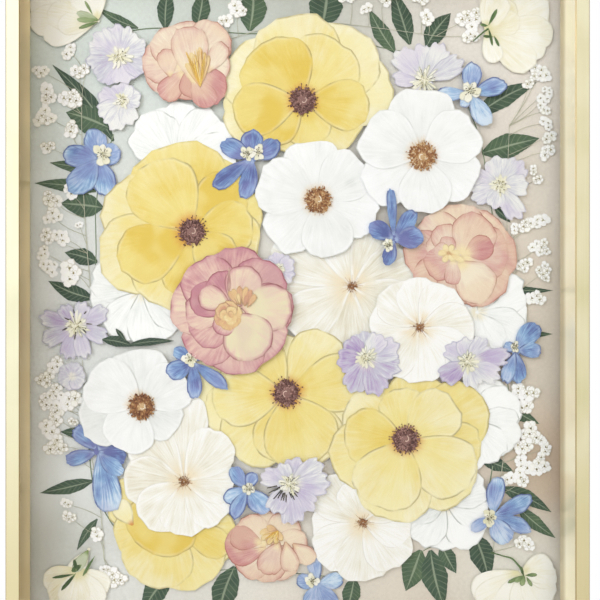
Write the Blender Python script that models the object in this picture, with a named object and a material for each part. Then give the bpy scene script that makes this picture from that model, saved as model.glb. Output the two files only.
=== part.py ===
"""Pressed flower frame: four mitred metal rails, glass, a backing board and a spray of pressed flowers.

Metres, +Z up. The frame hangs upright with its front facing -Y. The origin is the notch of the wall
hanger, in the plane of the wall. Flower places and petal sizes are in millimetres from the middle of
the board, as seen from the front.
"""
import math

import bmesh
import bpy
from mathutils import Matrix, Vector

MM = 0.001

# Outside of the frame
FRAME_WIDTH = 404 * MM
FRAME_HEIGHT = 506 * MM
FRAME_DEPTH = 40 * MM
TOP_ABOVE_HANGER = 22 * MM

# Rail section, from the outer edge inwards and from the front backwards
FACE_WIDTH = 10 * MM
FACE_CHAMFER = 0.7 * MM
OUTER_WALL = 4.5 * MM
GAP = 0.3 * MM

# What the channel behind the face holds, from the front backwards
GLASS_FRONT = 26.3 * MM
GLASS_THICKNESS = 2 * MM
BOARD_FRONT = 35 * MM
BOARD_THICKNESS = 3 * MM

# The pressed flowers lie in levels, counted from the board forwards
LEVEL_PITCH = 0.7 * MM
PRESSED_THICKNESS = 0.4 * MM
PETAL_EDGE = 0.26 * MM
CREASE = 0.4

# Sawtooth hanger
HANGER_WIDTH = 46 * MM
HANGER_HEIGHT = 9 * MM
HANGER_THICKNESS = 0.8 * MM
HANGER_TEETH = 9
TOOTH_DEPTH = 1.6 * MM
HANGER_FOOT = 7 * MM
FOOT_INSET = 0.4 * MM

MIDDLE_Z = TOP_ABOVE_HANGER - FRAME_HEIGHT / 2
BOARD_FACE_Y = -(FRAME_DEPTH - BOARD_FRONT)

# A petal's outline is a rounded fan about the flower's centre: the higher the value, the squarer its tip
PETAL_ROUNDNESS = 2.5
WIDEST_SHARE = 0.5 ** (1 / PETAL_ROUNDNESS)
WIDEST_SINE = 0.97

COLOURS = {
    "gold": ((0.86, 0.80, 0.62), 0.28, 1.0),
    "steel": ((0.62, 0.62, 0.60), 0.4, 1.0),
    "glass": ((0.95, 0.97, 0.96), 0.03, 0.0),
    "board": ((0.50, 0.48, 0.44), 0.95, 0.0),
    "yellow": ((0.86, 0.74, 0.28), 0.8, 0.0),
    "white": ((0.90, 0.91, 0.87), 0.8, 0.0),
    "cream": ((0.86, 0.84, 0.73), 0.8, 0.0),
    "pink": ((0.78, 0.50, 0.42), 0.8, 0.0),
    "blue": ((0.30, 0.42, 0.72), 0.8, 0.0),
    "lilac": ((0.62, 0.58, 0.76), 0.8, 0.0),
    "bud": ((0.86, 0.82, 0.62), 0.8, 0.0),
    "leaf": ((0.10, 0.16, 0.10), 0.8, 0.0),
    "floret": ((0.84, 0.83, 0.76), 0.8, 0.0),
}

# Each flower: colour, centre (right, up), level, outer petals and, where it has them, inner petals.
# A petal is (direction in degrees anticlockwise from the right, length, width).
FLOWERS = {
    "yellow_poppy_top": ("yellow", (6, 146), 3, [
        (150, 62, 60), (95, 64, 64), (45, 66, 60), (10, 67, 52), (-38, 48, 44), (-120, 40, 46),
        (195, 60, 46)],
        [(190, 52, 38), (128, 52, 56), (55, 52, 54), (-5, 49, 32), (-80, 34, 36), (-138, 40, 34)]),
    "yellow_poppy_left": ("yellow", (-75, 50), 3, [
        (105, 67, 72), (160, 68, 56), (200, 71, 60), (245, 60, 60), (285, 57, 52), (-15, 50, 52),
        (32, 54, 56), (65, 58, 44)],
        [(205, 58, 44), (262, 47, 38), (125, 60, 54), (50, 50, 40), (5, 45, 42), (-45, 38, 34)]),
    "yellow_poppy_middle": ("yellow", (-6, -68), 3, [
        (165, 70, 56), (200, 62, 48), (232, 60, 54), (-62, 58, 52), (-95, 50, 44), (-8, 62, 50), (45, 54, 48),
        (140, 47, 48), (92, 42, 44)],
        [(-35, 46, 44), (10, 58, 44), (185, 54, 46), (-90, 44, 46), (130, 44, 38)]),
    "yellow_poppy_right": ("yellow", (81, -102), 4, [
        (25, 64, 52), (75, 50, 48), (145, 50, 46), (200, 57, 50), (258, 61, 56), (-45, 62, 50),
        (-12, 56, 40)],
        [(30, 44, 38), (-35, 57, 44), (243, 54, 46), (175, 45, 42), (95, 38, 36)]),
    "yellow_poppy_low": ("yellow", (-90, -161), 2, [
        (158, 50, 40), (200, 44, 42), (250, 52, 54), (292, 54, 56), (-28, 50, 44), (60, 28, 40),
        (110, 28, 40)],
        [(212, 34, 34), (270, 38, 44), (-40, 34, 34)]),
    "white_anemone_right": ("white", (93, 105), 6, [
        (92, 51, 50), (32, 46, 42), (-28, 45, 40), (-85, 42, 40), (215, 49, 38), (155, 48, 45)],
        [(0, 10, 12), (72, 10, 12), (144, 10, 12), (216, 10, 12), (288, 10, 12)]),
    "white_anemone_middle": ("white", (17, 73), 5, [
        (100, 45, 44), (42, 44, 40), (-15, 46, 39), (-75, 43, 39), (-135, 46, 40), (162, 47, 43)],
        [(20, 10, 12), (92, 10, 12), (164, 10, 12), (236, 10, 12), (308, 10, 12)]),
    "white_anemone_left": ("white", (-112, -78), 5, [
        (98, 43, 48), (35, 40, 38), (-30, 32, 32), (240, 36, 40), (195, 47, 42), (148, 46, 42)],
        [(10, 10, 12), (82, 10, 12), (154, 10, 12), (226, 10, 12), (298, 10, 12)]),
    "cream_bloom_low_left": ("cream", (-81, -133), 4, [
        (93, 66, 42), (132, 52, 36), (178, 44, 38), (228, 42, 38), (275, 40, 38), (320, 40, 36), (2, 37, 34),
        (48, 46, 36)],
        [(20, 22, 22), (92, 24, 24), (164, 22, 22), (236, 22, 22), (308, 22, 22)]),
    "cream_bloom_middle": ("cream", (42, 10), 2, [
        (174, 57, 40), (140, 56, 38), (100, 42, 34), (62, 36, 32), (18, 42, 36), (-24, 46, 36), (-64, 44, 34),
        (-105, 46, 36), (-146, 56, 38)],
        [(0, 22, 22), (72, 24, 24), (144, 22, 22), (216, 22, 22), (288, 22, 22)]),
    "cream_bloom_right": ("cream", (91, -20), 5, [
        (175, 36, 34), (130, 38, 36), (88, 36, 36), (45, 38, 36), (0, 40, 38), (-42, 40, 36), (-90, 41, 38),
        (-135, 44, 38)],
        [(30, 22, 22), (102, 24, 24), (174, 22, 22), (246, 22, 22), (318, 22, 22)]),
    "cream_bloom_bottom": ("cream", (50, -163), 3, [
        (180, 37, 36), (138, 43, 36), (225, 43, 38), (270, 44, 40), (315, 42, 38), (0, 36, 36), (45, 36, 34),
        (95, 32, 36)],
        [(10, 22, 22), (82, 24, 24), (154, 22, 22), (226, 22, 22), (298, 22, 22)]),
    "white_bloom_under_top": ("white", (-86, 102), 2, [
        (90, 44, 50), (134, 42, 42), (40, 47, 46), (5, 42, 40), (-60, 30, 40), (240, 30, 40)], []),
    "white_bloom_under_left": ("white", (-113, 7), 2, [
        (200, 38, 38), (155, 38, 38), (245, 40, 38), (290, 42, 40), (-25, 42, 38), (40, 30, 40)], []),
    "white_bloom_under_right": ("white", (134, -9), 2, [
        (0, 37, 38), (38, 40, 38), (-38, 38, 38), (-78, 33, 36), (85, 33, 36), (180, 28, 44)], []),
    "white_bloom_under_side": ("white", (128, -88), 3, [
        (62, 37, 36), (22, 39, 36), (-18, 39, 36), (-60, 37, 36), (180, 26, 44)], []),
    "white_bloom_under_low": ("white", (111, -150), 2, [
        (-90, 34, 38), (-45, 37, 36), (-2, 32, 34), (-135, 36, 36), (40, 33, 34), (160, 30, 40)], []),
    "pink_rose_top": ("pink", (-78, 173), 5, [
        (95, 31, 36), (45, 37, 36), (2, 31, 30), (-48, 36, 30), (-100, 27, 34), (-150, 33, 30), (178, 34, 32),
        (138, 32, 30)],
        [(20, 22, 20), (110, 20, 24), (190, 22, 22), (-70, 18, 22)]),
    "pink_rose_right": ("pink", (122, 33), 4, [
        (0, 41, 42), (50, 38, 40), (95, 38, 40), (140, 38, 38), (180, 42, 38), (222, 40, 36), (265, 36, 34),
        (310, 42, 42)],
        [(20, 30, 34), (75, 27, 32), (-40, 33, 36), (190, 24, 26), (130, 24, 28), (-100, 24, 24)]),
    "pink_rose_left": ("pink", (-44, -7), 7, [
        (90, 46, 46), (45, 44, 44), (0, 43, 42), (-45, 45, 46), (-90, 48, 46), (-130, 46, 42), (175, 47, 44),
        (135, 45, 44)],
        [(-50, 38, 40), (100, 30, 36), (20, 30, 34), (180, 32, 34), (-120, 30, 30)]),
    "pink_rose_bottom": ("pink", (-20, -181), 3, [
        (90, 26, 28), (45, 29, 28), (0, 30, 28), (-45, 28, 28), (-90, 26, 28), (-135, 28, 28), (180, 31, 30),
        (135, 28, 28)],
        [(10, 18, 20), (100, 18, 20), (190, 19, 20), (280, 18, 20)]),
    "blue_larkspur_upper_left": ("blue", (-144, 104), 2, [
        (100, 21, 20), (172, 24, 18), (236, 30, 22), (286, 27, 20), (18, 17, 20)], []),
    "blue_larkspur_middle": ("blue", (-31, 104), 4, [
        (92, 21, 20), (153, 25, 18), (24, 23, 18), (216, 36, 16), (263, 30, 17)], []),
    "blue_larkspur_right": ("blue", (72, 44), 8, [
        (93, 38, 9), (52, 26, 15), (8, 22, 20), (145, 21, 17), (255, 19, 13)], []),
    "blue_larkspur_upper_right": ("blue", (129, 151), 5, [
        (88, 23, 18), (17, 27, 17), (183, 26, 13), (-65, 26, 18), (230, 12, 10)], []),
    "blue_larkspur_middle_left": ("blue", (-75, -45), 6, [
        (140, 16, 13), (212, 21, 18), (278, 27, 14), (-37, 32, 13), (50, 13, 12)], []),
    "blue_larkspur_bottom_left": ("blue", (-34, -138), 6, [
        (132, 20, 14), (205, 20, 15), (238, 24, 14), (-55, 22, 20), (75, 13, 12)], []),
    "blue_larkspur_low_left": ("blue", (-144, -111), 3, [
        (130, 25, 17), (198, 25, 14), (-12, 21, 20), (-76, 46, 26), (60, 16, 16)], []),
    "blue_larkspur_side_right": ("blue", (162, -37), 4, [
        (55, 25, 19), (2, 19, 14), (-85, 24, 15), (250, 25, 13), (150, 10, 10)], []),
    "blue_larkspur_low_right": ("blue", (145, -158), 4, [
        (85, 29, 17), (22, 32, 16), (-18, 30, 14), (-65, 23, 20), (215, 19, 11)], []),
    "blue_larkspur_bottom": ("blue", (17, -208), 2, [
        (100, 20, 13), (172, 16, 14), (8, 19, 15), (250, 22, 17), (300, 22, 17)], []),
    "lilac_scabious_top_left": ("lilac", (-128, 178), 4, [
        (92, 25, 22), (140, 26, 22), (185, 25, 20), (232, 24, 20), (282, 21, 20), (330, 22, 18),
        (35, 22, 20)], []),
    "lilac_scabious_upper_left": ("lilac", (-126, 146), 3, [
        (165, 19, 16), (210, 21, 17), (250, 23, 18), (290, 19, 16), (20, 14, 18), (90, 14, 18)], []),
    "lilac_scabious_top_right": ("lilac", (95, 161), 2, [
        (168, 23, 17), (133, 31, 18), (97, 28, 19), (60, 31, 18), (26, 33, 18), (270, 10, 20)], []),
    "lilac_scabious_right": ("lilac", (150, 84), 3, [
        (96, 22, 20), (42, 25, 20), (2, 22, 18), (160, 22, 16), (205, 23, 17), (-60, 29, 18),
        (-105, 18, 16)], []),
    "lilac_scabious_left": ("lilac", (-160, -19), 3, [
        (165, 28, 17), (203, 28, 18), (248, 26, 18), (288, 25, 18), (340, 25, 18), (30, 26, 18), (78, 19, 16),
        (125, 19, 16), (-9, 72, 9), (267, 49, 20)], []),
    "lilac_scabious_floret": ("lilac", (-12, 23), 5, [
        (100, 12, 14), (172, 14, 14), (240, 14, 14), (310, 14, 15), (25, 13, 14)], []),
    "lilac_scabious_middle": ("lilac", (52, -42), 6, [
        (95, 20, 18), (145, 20, 19), (192, 22, 20), (245, 28, 20), (290, 30, 20), (335, 27, 19), (18, 26, 20),
        (55, 21, 17)], []),
    "lilac_scabious_low_right": ("lilac", (126, -45), 6, [
        (145, 20, 16), (98, 18, 16), (50, 22, 16), (8, 32, 15), (-28, 27, 16), (-75, 20, 15),
        (215, 24, 18)], []),
    "lilac_scabious_bottom": ("lilac", (-4, -134), 7, [
        (70, 20, 18), (30, 29, 20), (-2, 30, 19), (-48, 26, 18), (-85, 31, 19), (-122, 25, 18), (160, 22, 16),
        (115, 17, 15)], []),
    "rosebud_top_left": ("bud", (-144, 205), 2, [
        (150, 50, 36), (170, 52, 34), (195, 42, 26), (120, 30, 26), (100, 26, 18)],
        [(160, 18, 5), (182, 18, 5), (205, 18, 5)]),
    "rosebud_top_right": ("bud", (140, 197), 2, [
        (35, 50, 38), (0, 50, 36), (-36, 44, 28), (70, 30, 26), (-70, 24, 18)],
        [(50, 18, 5), (20, 16, 5), (-52, 18, 5)]),
    "rosebud_bottom_left": ("bud", (-151, -183), 2, [
        (232, 44, 34), (258, 46, 30), (282, 44, 26)],
        [(215, 26, 6), (240, 28, 6), (262, 20, 5)]),
    "rosebud_bottom_right": ("bud", (166, -199), 2, [
        (208, 44, 34), (258, 34, 34), (312, 32, 30), (5, 24, 26)],
        [(208, 17, 5), (262, 14, 5), (330, 16, 5)]),
}

# How finely each kind's outline is drawn: the least angle between two of its points, in degrees
OUTLINE_STEP = {"yellow": 10.0, "white": 10.5, "cream": 10.5, "pink": 10.5, "blue": 9.5, "lilac": 10.5,
                "bud": 8.0}

# Where an outline has points on a petal: its tip, its sides and its shoulders, as shares of its span
OUTLINE_SHARES = (0, -1.05, 1.05, -0.5, 0.5, -0.85, 0.85)
NARROW_PETAL_SHARE = 0.9

# The solid middle of each kind of flower, the raised eye of those with no inner petals, and how near the
# inner petals may come to the outline
CORE_RADIUS = {"yellow": 14, "white": 9, "cream": 12, "pink": 12, "blue": 4, "lilac": 7, "bud": 4}
INNER_CORE_SHARE = 0.45
EYE_RADIUS = {"white": 10.2, "blue": 2.8, "lilac": 5.4}
INNER_LIMIT = 0.9

# Each sprig: its stem's points, and its leaves as (base, tip, width)
LEAF_SPRIGS = {
    "leaf_sprig_left": ([(-133, 122), (-140, 100), (-146, 70), (-146, 34), (-148, 2)], [
        ((-133, 117), (-178, 173), 11), ((-137, 127), (-168, 138), 19), ((-141, 95), (-180, 101), 9),
        ((-146, 80), (-191, 86), 9), ((-141, 68), (-172, 71), 16), ((-145, 28), (-169, 35), 11),
        ((-148, 1), (-181, 14), 11)]),
    "leaf_sprig_top": ([(-123, 198), (-95, 200), (-34, 196), (22, 196), (72, 184), (98, 184)], [
        ((-115, 200), (-145, 215), 7), ((-95, 199), (-92, 232), 11), ((-72, 200), (-67, 230), 12),
        ((-33, 198), (-31, 234), 18), ((20, 200), (24, 236), 22), ((74, 182), (55, 214), 11),
        ((85, 188), (72, 229), 13), ((97, 186), (115, 211), 14)]),
    "leaf_sprig_right": ([(128, 142), (138, 112), (146, 60), (153, 8), (154, -28), (158, -72)], [
        ((134, 136), (178, 160), 13), ((138, 108), (180, 119), 16), ((147, 68), (159, 57), 5),
        ((153, 8), (190, 7), 5), ((154, -26), (190, -25), 6), ((158, -78), (180, -91), 8)]),
    "leaf_sprig_lower_right": ([(146, -122), (140, -150), (128, -170), (104, -180), (92, -186)], [
        ((137, -117), (161, -126), 9), ((152, -138), (189, -156), 10), ((164, -152), (192, -175), 9),
        ((132, -172), (143, -206), 20), ((108, -180), (119, -201), 11), ((100, -184), (110, -226), 17),
        ((93, -184), (82, -214), 17)]),
    "leaf_sprig_bottom": ([(-152, -100), (-146, -142), (-122, -180), (-88, -202), (-40, -198), (42, -205)], [
        ((-148, -133), (-187, -142), 9), ((-145, -161), (-160, -184), 9), ((-153, -100), (-172, -97), 7),
        ((-92, -202), (-112, -230), 15), ((-44, -196), (-56, -236), 17), ((44, -204), (38, -230), 12)]),
}
LEAF_LEVEL = 0
STEM_WIDTH = 1.3
STEM_THICKNESS = 0.3 * MM
STEM_LAP = 1 / 3
STEM_END_SHARE = 0.05
STALK_REACH = 0.08

# A leaf blade's half width along its length, both as shares
LEAF_BLADE = ((0.0, 0.12), (0.22, 0.8), (0.5, 1.0), (0.8, 0.5), (1.0, 0.0))

# Each spray of gypsophila: its stem's points, and its clusters of florets as (place, radius)
GYPSOPHILA = {
    "gypsophila_left": ([(-150, 8), (-154, 60), (-156, 110), (-156, 150), (-152, 176)], [
        ((-162, 178), 9), ((-185, 168), 5), ((-180, 151), 6), ((-166, 148), 7), ((-185, 132), 6),
        ((-166, 123), 6), ((-180, 112), 5), ((-171, 73), 8), ((-178, 44), 7), ((-166, 20), 7),
        ((-180, 25), 6)]),
    "gypsophila_lower_left": ([(-140, -190), (-143, -150), (-150, -110), (-154, -70), (-156, -44)], [
        ((-176, -48), 7), ((-183, -62), 6), ((-178, -76), 7), ((-181, -95), 7), ((-172, -108), 7),
        ((-167, -152), 7), ((-147, -172), 5), ((-134, -202), 8)]),
    "gypsophila_right": ([(146, -185), (152, -128), (160, -60), (158, 10), (156, 70), (158, 128)], [
        ((180, 164), 8), ((186, 146), 7), ((187, 130), 7), ((185, 111), 6), ((176, 90), 5), ((172, 55), 6),
        ((182, 38), 6), ((180, 18), 6), ((168, -68), 7), ((172, -100), 8), ((186, -112), 7),
        ((168, -124), 7), ((168, -177), 6)]),
    "gypsophila_top": ([(-60, 176), (-46, 192), (8, 204), (60, 200), (104, 194)], [
        ((-46, 215), 9), ((40, 224), 7), ((66, 222), 6), ((94, 225), 7), ((126, 212), 9),
        ((132, 198), 6)]),
}
SPRAY_LEVEL = 1
SPRAY_STEM_WIDTH = 1.0
BRANCH_DROP = 14
BRANCH_END_SHARE = 0.75
CLUSTER_SIDES = 6


def clear_scene():
    """Remove every object that the file starts with."""
    for thing in list(bpy.data.objects):
        bpy.data.objects.remove(thing, do_unlink=True)


def new_collection(name):
    """Make a collection for a group of objects and link it to the scene."""
    group = bpy.data.collections.new(name)
    bpy.context.scene.collection.children.link(group)
    return group


def principled(name):
    """One of the frame's materials: colour, roughness and metallic value."""
    colour, roughness, metallic = COLOURS[name]
    material = bpy.data.materials.new(name)
    material.use_nodes = True
    shader = material.node_tree.nodes["Principled BSDF"]
    shader.inputs["Base Color"].default_value = (*colour, 1)
    shader.inputs["Roughness"].default_value = roughness
    shader.inputs["Metallic"].default_value = metallic
    return material


def add_object(name, bm, group, material):
    """Turn a bmesh into a named object in a collection."""
    bmesh.ops.recalc_face_normals(bm, faces=bm.faces)
    mesh = bpy.data.meshes.new(name)
    bm.to_mesh(mesh)
    bm.free()
    thing = bpy.data.objects.new(name, mesh)
    thing.data.materials.append(material)
    group.objects.link(thing)
    return thing


def on_board(right, up, forward):
    """A point given in millimetres from the middle of the board's face, as a place in the frame."""
    return Vector((right * MM, BOARD_FACE_Y - forward, MIDDLE_Z + up * MM))


def box(bm, low, high):
    """A block between two corners."""
    low, high = Vector(low), Vector(high)
    scale = Matrix.Diagonal((*(high - low), 1))
    bmesh.ops.create_cube(bm, size=1, matrix=Matrix.Translation((low + high) / 2) @ scale)


# --- Rails -------------------------------------------------------------------------------------------

def rail_section():
    """The rail's section as (inwards, backwards) points: a deep front lip, a channel and a back flange."""
    channel_front = GLASS_FRONT - GAP
    channel_back = BOARD_FRONT + BOARD_THICKNESS + GAP
    return [
        (0, FACE_CHAMFER), (FACE_CHAMFER, 0), (FACE_WIDTH - FACE_CHAMFER, 0), (FACE_WIDTH, FACE_CHAMFER),
        (FACE_WIDTH, channel_front), (OUTER_WALL, channel_front), (OUTER_WALL, channel_back),
        (FACE_WIDTH, channel_back), (FACE_WIDTH, FRAME_DEPTH), (0, FRAME_DEPTH),
    ]


def make_rail(name, length, turn, offset, group, material):
    """One rail: its section drawn out along X, its ends cut to 45 degrees, then turned into place."""
    bm = bmesh.new()
    joint = GAP / 2 * math.sqrt(2)
    start = -length / 2 + joint
    outline = [bm.verts.new((start, back - FRAME_DEPTH, -inwards)) for inwards, back in rail_section()]
    end_face = bm.faces.new(outline)
    drawn = bmesh.ops.extrude_face_region(bm, geom=[end_face])
    far_points = [item for item in drawn["geom"] if isinstance(item, bmesh.types.BMVert)]
    bmesh.ops.translate(bm, verts=far_points, vec=(length - 2 * joint, 0, 0))
    for point in bm.verts:
        inwards = -point.co.z
        point.co.x -= math.copysign(inwards, point.co.x)
    rail = add_object(name, bm, group, material)
    rail.rotation_euler = (0, turn, 0)
    rail.location = (offset[0], 0, MIDDLE_Z + offset[1])
    return rail


def make_rails(group, material):
    """Top, bottom, left and right rails, outer edges on the frame's outside."""
    half_width, half_height = FRAME_WIDTH / 2, FRAME_HEIGHT / 2
    make_rail("rail_top", FRAME_WIDTH, 0, (0, half_height), group, material)
    make_rail("rail_bottom", FRAME_WIDTH, math.pi, (0, -half_height), group, material)
    make_rail("rail_left", FRAME_HEIGHT, -math.pi / 2, (-half_width, 0), group, material)
    make_rail("rail_right", FRAME_HEIGHT, math.pi / 2, (half_width, 0), group, material)


# --- Glass, board and hanger ---------------------------------------------------------------------------

def make_sheet(name, front, thickness, group, material):
    """A flat sheet that fills the channel from side to side with a small gap at its edges."""
    half_width = FRAME_WIDTH / 2 - OUTER_WALL - GAP
    half_height = FRAME_HEIGHT / 2 - OUTER_WALL - GAP
    y = front - FRAME_DEPTH
    bm = bmesh.new()
    box(bm, (-half_width, y, MIDDLE_Z - half_height), (half_width, y + thickness, MIDDLE_Z + half_height))
    return add_object(name, bm, group, material)


def make_hanger(group, cutters, material):
    """A toothed steel strip on two feet, on the back of the board. The wall nail sits in its middle notch."""
    half = HANGER_WIDTH / 2
    toothed_half = half - HANGER_FOOT
    pitch = 2 * toothed_half / (2 * HANGER_TEETH)
    outline = [(-half, -TOOTH_DEPTH), (-half, HANGER_HEIGHT), (half, HANGER_HEIGHT), (half, -TOOTH_DEPTH)]
    for step in range(2 * HANGER_TEETH + 1):
        rise = 0 if step % 2 else -TOOTH_DEPTH
        outline.append((toothed_half - step * pitch, rise))
    bm = bmesh.new()
    back = -GAP
    strip = bm.faces.new([bm.verts.new((x, back, z)) for x, z in outline])
    drawn = bmesh.ops.extrude_face_region(bm, geom=[strip])
    near = [item for item in drawn["geom"] if isinstance(item, bmesh.types.BMVert)]
    bmesh.ops.translate(bm, verts=near, vec=(0, -HANGER_THICKNESS, 0))
    hanger = add_object("wall_hanger", bm, group, material)

    feet = bmesh.new()
    board_back = BOARD_FRONT + BOARD_THICKNESS - FRAME_DEPTH
    for side in (-1, 1):
        inner, outer = sorted((side * (toothed_half + FOOT_INSET), side * (half - FOOT_INSET)))
        top_corner = (outer, back - HANGER_THICKNESS / 2, HANGER_HEIGHT - FOOT_INSET)
        box(feet, (inner, board_back + GAP, FOOT_INSET), top_corner)
    join(hanger, feet, cutters, material)
    return hanger


# --- Pressed flowers -----------------------------------------------------------------------------------

def petal_span(length, width):
    """Half the angle that a petal takes up about its flower's centre."""
    return math.asin(min(WIDEST_SINE, width / (2 * WIDEST_SHARE * length))) / WIDEST_SHARE


def petal_reach(turn, length, width):
    """How far a petal reaches at an angle from its own middle line."""
    share = abs(turn) / petal_span(length, width)
    if share >= 1:
        return 0.0
    return length * (1 - share ** PETAL_ROUNDNESS) ** (1 / PETAL_ROUNDNESS)


def turn_between(angle, direction):
    """The angle from a petal's direction, between minus and plus half a turn."""
    return math.remainder(angle - direction, math.tau)


def outline_radius(angle, petals, least):
    """How far a ring of petals reaches at an angle: the furthest of them, or the flower's core."""
    reaches = [petal_reach(turn_between(angle, math.radians(way)), length, width)
               for way, length, width in petals]
    return max(reaches + [least])


def crown(angle, petals):
    """How near an angle is to the middle of a petal: 1 on the nearest petal's middle line, 0 at its side."""
    turns = [abs(turn_between(angle, math.radians(way))) / petal_span(length, width)
             for way, length, width in petals]
    return max(0.0, 1 - min(turns))


def outline_angles(petals, step):
    """Angles at the tips, sides and shoulders of the petals, about a step apart all round."""
    wanted = []
    room = math.radians(step)
    for share in OUTLINE_SHARES:
        for way, length, width in petals:
            span = petal_span(length, width)
            wanted.append((math.radians(way) + share * span, min(room, NARROW_PETAL_SHARE * span)))
    even_turn = 2 * room
    wanted += [(even_turn * index, room) for index in range(int(math.tau / even_turn))]
    chosen = []
    for angle, room in wanted:
        angle %= math.tau
        if all(abs(turn_between(angle, other)) >= room for other in chosen):
            chosen.append(angle)
    return sorted(chosen)


def loft(bm, rings):
    """Join closed rings of points, one after another, and close the first and the last."""
    rows = [[bm.verts.new(place) for place in ring] for ring in rings]
    count = len(rows[0])
    for near, far in zip(rows, rows[1:]):
        for index in range(count):
            after = (index + 1) % count
            bm.faces.new((near[index], near[after], far[after], far[index]))
    bm.faces.new(rows[0])
    bm.faces.new(list(reversed(rows[-1])))


def make_flower(name, group, materials):
    """A pressed flower: its petals' outline, its raised inner petals or eye, and a flat back."""
    colour, (right, up), level, outer, inner = FLOWERS[name]
    core = CORE_RADIUS[colour]
    angles = outline_angles(outer + inner, OUTLINE_STEP[colour])
    edge = [outline_radius(angle, outer, core) for angle in angles]
    if inner:
        raised = [outline_radius(angle, inner, INNER_CORE_SHARE * core) for angle in angles]
    else:
        raised = [EYE_RADIUS[colour]] * len(angles)
    raised = [min(near, INNER_LIMIT * far) for near, far in zip(raised, edge)]
    back = level * LEVEL_PITCH + GAP
    creased = [back + PETAL_EDGE * (CREASE + (1 - CREASE) * crown(angle, outer)) for angle in angles]

    def ring(radii, heights_forward):
        return [on_board(right + radius * math.cos(angle), up + radius * math.sin(angle), forward)
                for angle, radius, forward in zip(angles, radii, heights_forward)]

    level_back = [back] * len(angles)
    level_front = [back + PRESSED_THICKNESS] * len(angles)
    bm = bmesh.new()
    loft(bm, [ring(edge, level_back), ring(edge, creased), ring(raised, level_front)])
    return add_object(name, bm, group, materials[colour])


# --- Leaf sprigs and gypsophila -------------------------------------------------------------------------

def bar(bm, start, end, width, low, high):
    """A thin flat bar between two points on the board, from one height above it to another."""
    start, end = Vector(start), Vector(end)
    run = end - start
    middle = (start + end) / 2
    place = Matrix.Translation(on_board(middle.x, middle.y, (low + high) / 2))
    lean = Matrix.Rotation(-math.atan2(run.y, run.x), 4, "Y")
    size = Matrix.Diagonal((run.length * MM, high - low, width * MM, 1))
    bmesh.ops.create_cube(bm, size=1, matrix=place @ lean @ size)


def leaf_plate(bm, base, tip, width, low, high):
    """A pointed leaf blade, widest a little before its middle."""
    base, tip = Vector(base), Vector(tip)
    along = tip - base
    across = Vector((-along.y, along.x)).normalized() * width / 2
    right_side = [base + along * share - across * swell for share, swell in LEAF_BLADE]
    left_side = [base + along * share + across * swell for share, swell in LEAF_BLADE[:-1]]
    outline = right_side + list(reversed(left_side))
    loft(bm, [[on_board(*place, height) for place in outline] for height in (low, high)])


def floret_plate(bm, place, radius, low, high):
    """A flat disc with a few sides that fills the room of a cluster of florets."""
    turn = Matrix.Rotation(math.pi / 2, 4, "X")
    spot = Matrix.Translation(on_board(*place, (low + high) / 2))
    bmesh.ops.create_cone(bm, cap_ends=True, segments=CLUSTER_SIDES, radius1=radius * MM,
                          radius2=radius * MM, depth=high - low, matrix=spot @ turn)


def join(base, extra, cutters, material):
    """Fuse the loose shapes of a bmesh into an object with a union."""
    guide = add_object(base.name + "_joined_on", extra, cutters, material)
    guide.hide_render = True
    guide.display_type = "WIRE"
    union = base.modifiers.new("fused", "BOOLEAN")
    union.operation = "UNION"
    union.solver = "EXACT"
    union.use_self = True
    union.object = guide


def heights(level):
    """Low and high side of the flat stems, leaves and florets in a level."""
    low = level * LEVEL_PITCH + GAP
    return low, low + STEM_THICKNESS


def stem_plates(bm, points, width, level):
    """The run of bars that make a stem, each a little longer than its stretch so that they cross."""
    for start, end in zip(points, points[1:]):
        start, end = Vector(start), Vector(end)
        lap = (end - start).normalized() * width * STEM_LAP
        bar(bm, start - lap, end + lap, width, *heights(level))


def make_leaf_sprig(name, group, cutters, material):
    """A stem behind the flowers and the leaves that show past their edges."""
    points, leaves = LEAF_SPRIGS[name]
    first = bmesh.new()
    stem_plates(first, points[:2], STEM_WIDTH, LEAF_LEVEL)
    sprig = add_object(name, first, group, material)
    rest = bmesh.new()
    stem_plates(rest, points[1:], STEM_WIDTH, LEAF_LEVEL)
    for base, tip, width in leaves:
        leaf_plate(rest, base, tip, width, *heights(LEAF_LEVEL))
        foot = nearest_on_stem(base, points, 0)
        stalk_end = Vector(base).lerp(Vector(tip), STALK_REACH)
        if (stalk_end - foot).length > STEM_WIDTH:
            bar(rest, foot, stalk_end, STEM_WIDTH, *heights(LEAF_LEVEL))
    join(sprig, rest, cutters, material)


def nearest_on_stem(place, points, below):
    """The point of the stem that a leaf or a side branch grows from, some way below its place."""
    target = Vector(place) - Vector((0, below))
    best = None
    for start, end in zip(points, points[1:]):
        start, end = Vector(start), Vector(end)
        run = end - start
        share = (target - start).dot(run) / run.length_squared
        foot = start + run * min(1 - STEM_END_SHARE, max(STEM_END_SHARE, share))
        if best is None or (target - foot).length < (target - best).length:
            best = foot
    return best


def make_gypsophila(name, group, cutters, material):
    """A branching spray: a fine stem, side branches and a disc for each cluster of florets."""
    points, clusters = GYPSOPHILA[name]
    first = bmesh.new()
    stem_plates(first, points[:2], SPRAY_STEM_WIDTH, SPRAY_LEVEL)
    spray = add_object(name, first, group, material)
    rest = bmesh.new()
    stem_plates(rest, points[1:], SPRAY_STEM_WIDTH, SPRAY_LEVEL)
    for place, radius in clusters:
        foot = nearest_on_stem(place, points, BRANCH_DROP)
        inside = (foot - Vector(place)).normalized() * BRANCH_END_SHARE * radius
        bar(rest, foot, Vector(place) + inside, SPRAY_STEM_WIDTH, *heights(SPRAY_LEVEL))
        floret_plate(rest, place, radius, *heights(SPRAY_LEVEL))
    join(spray, rest, cutters, material)


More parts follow.
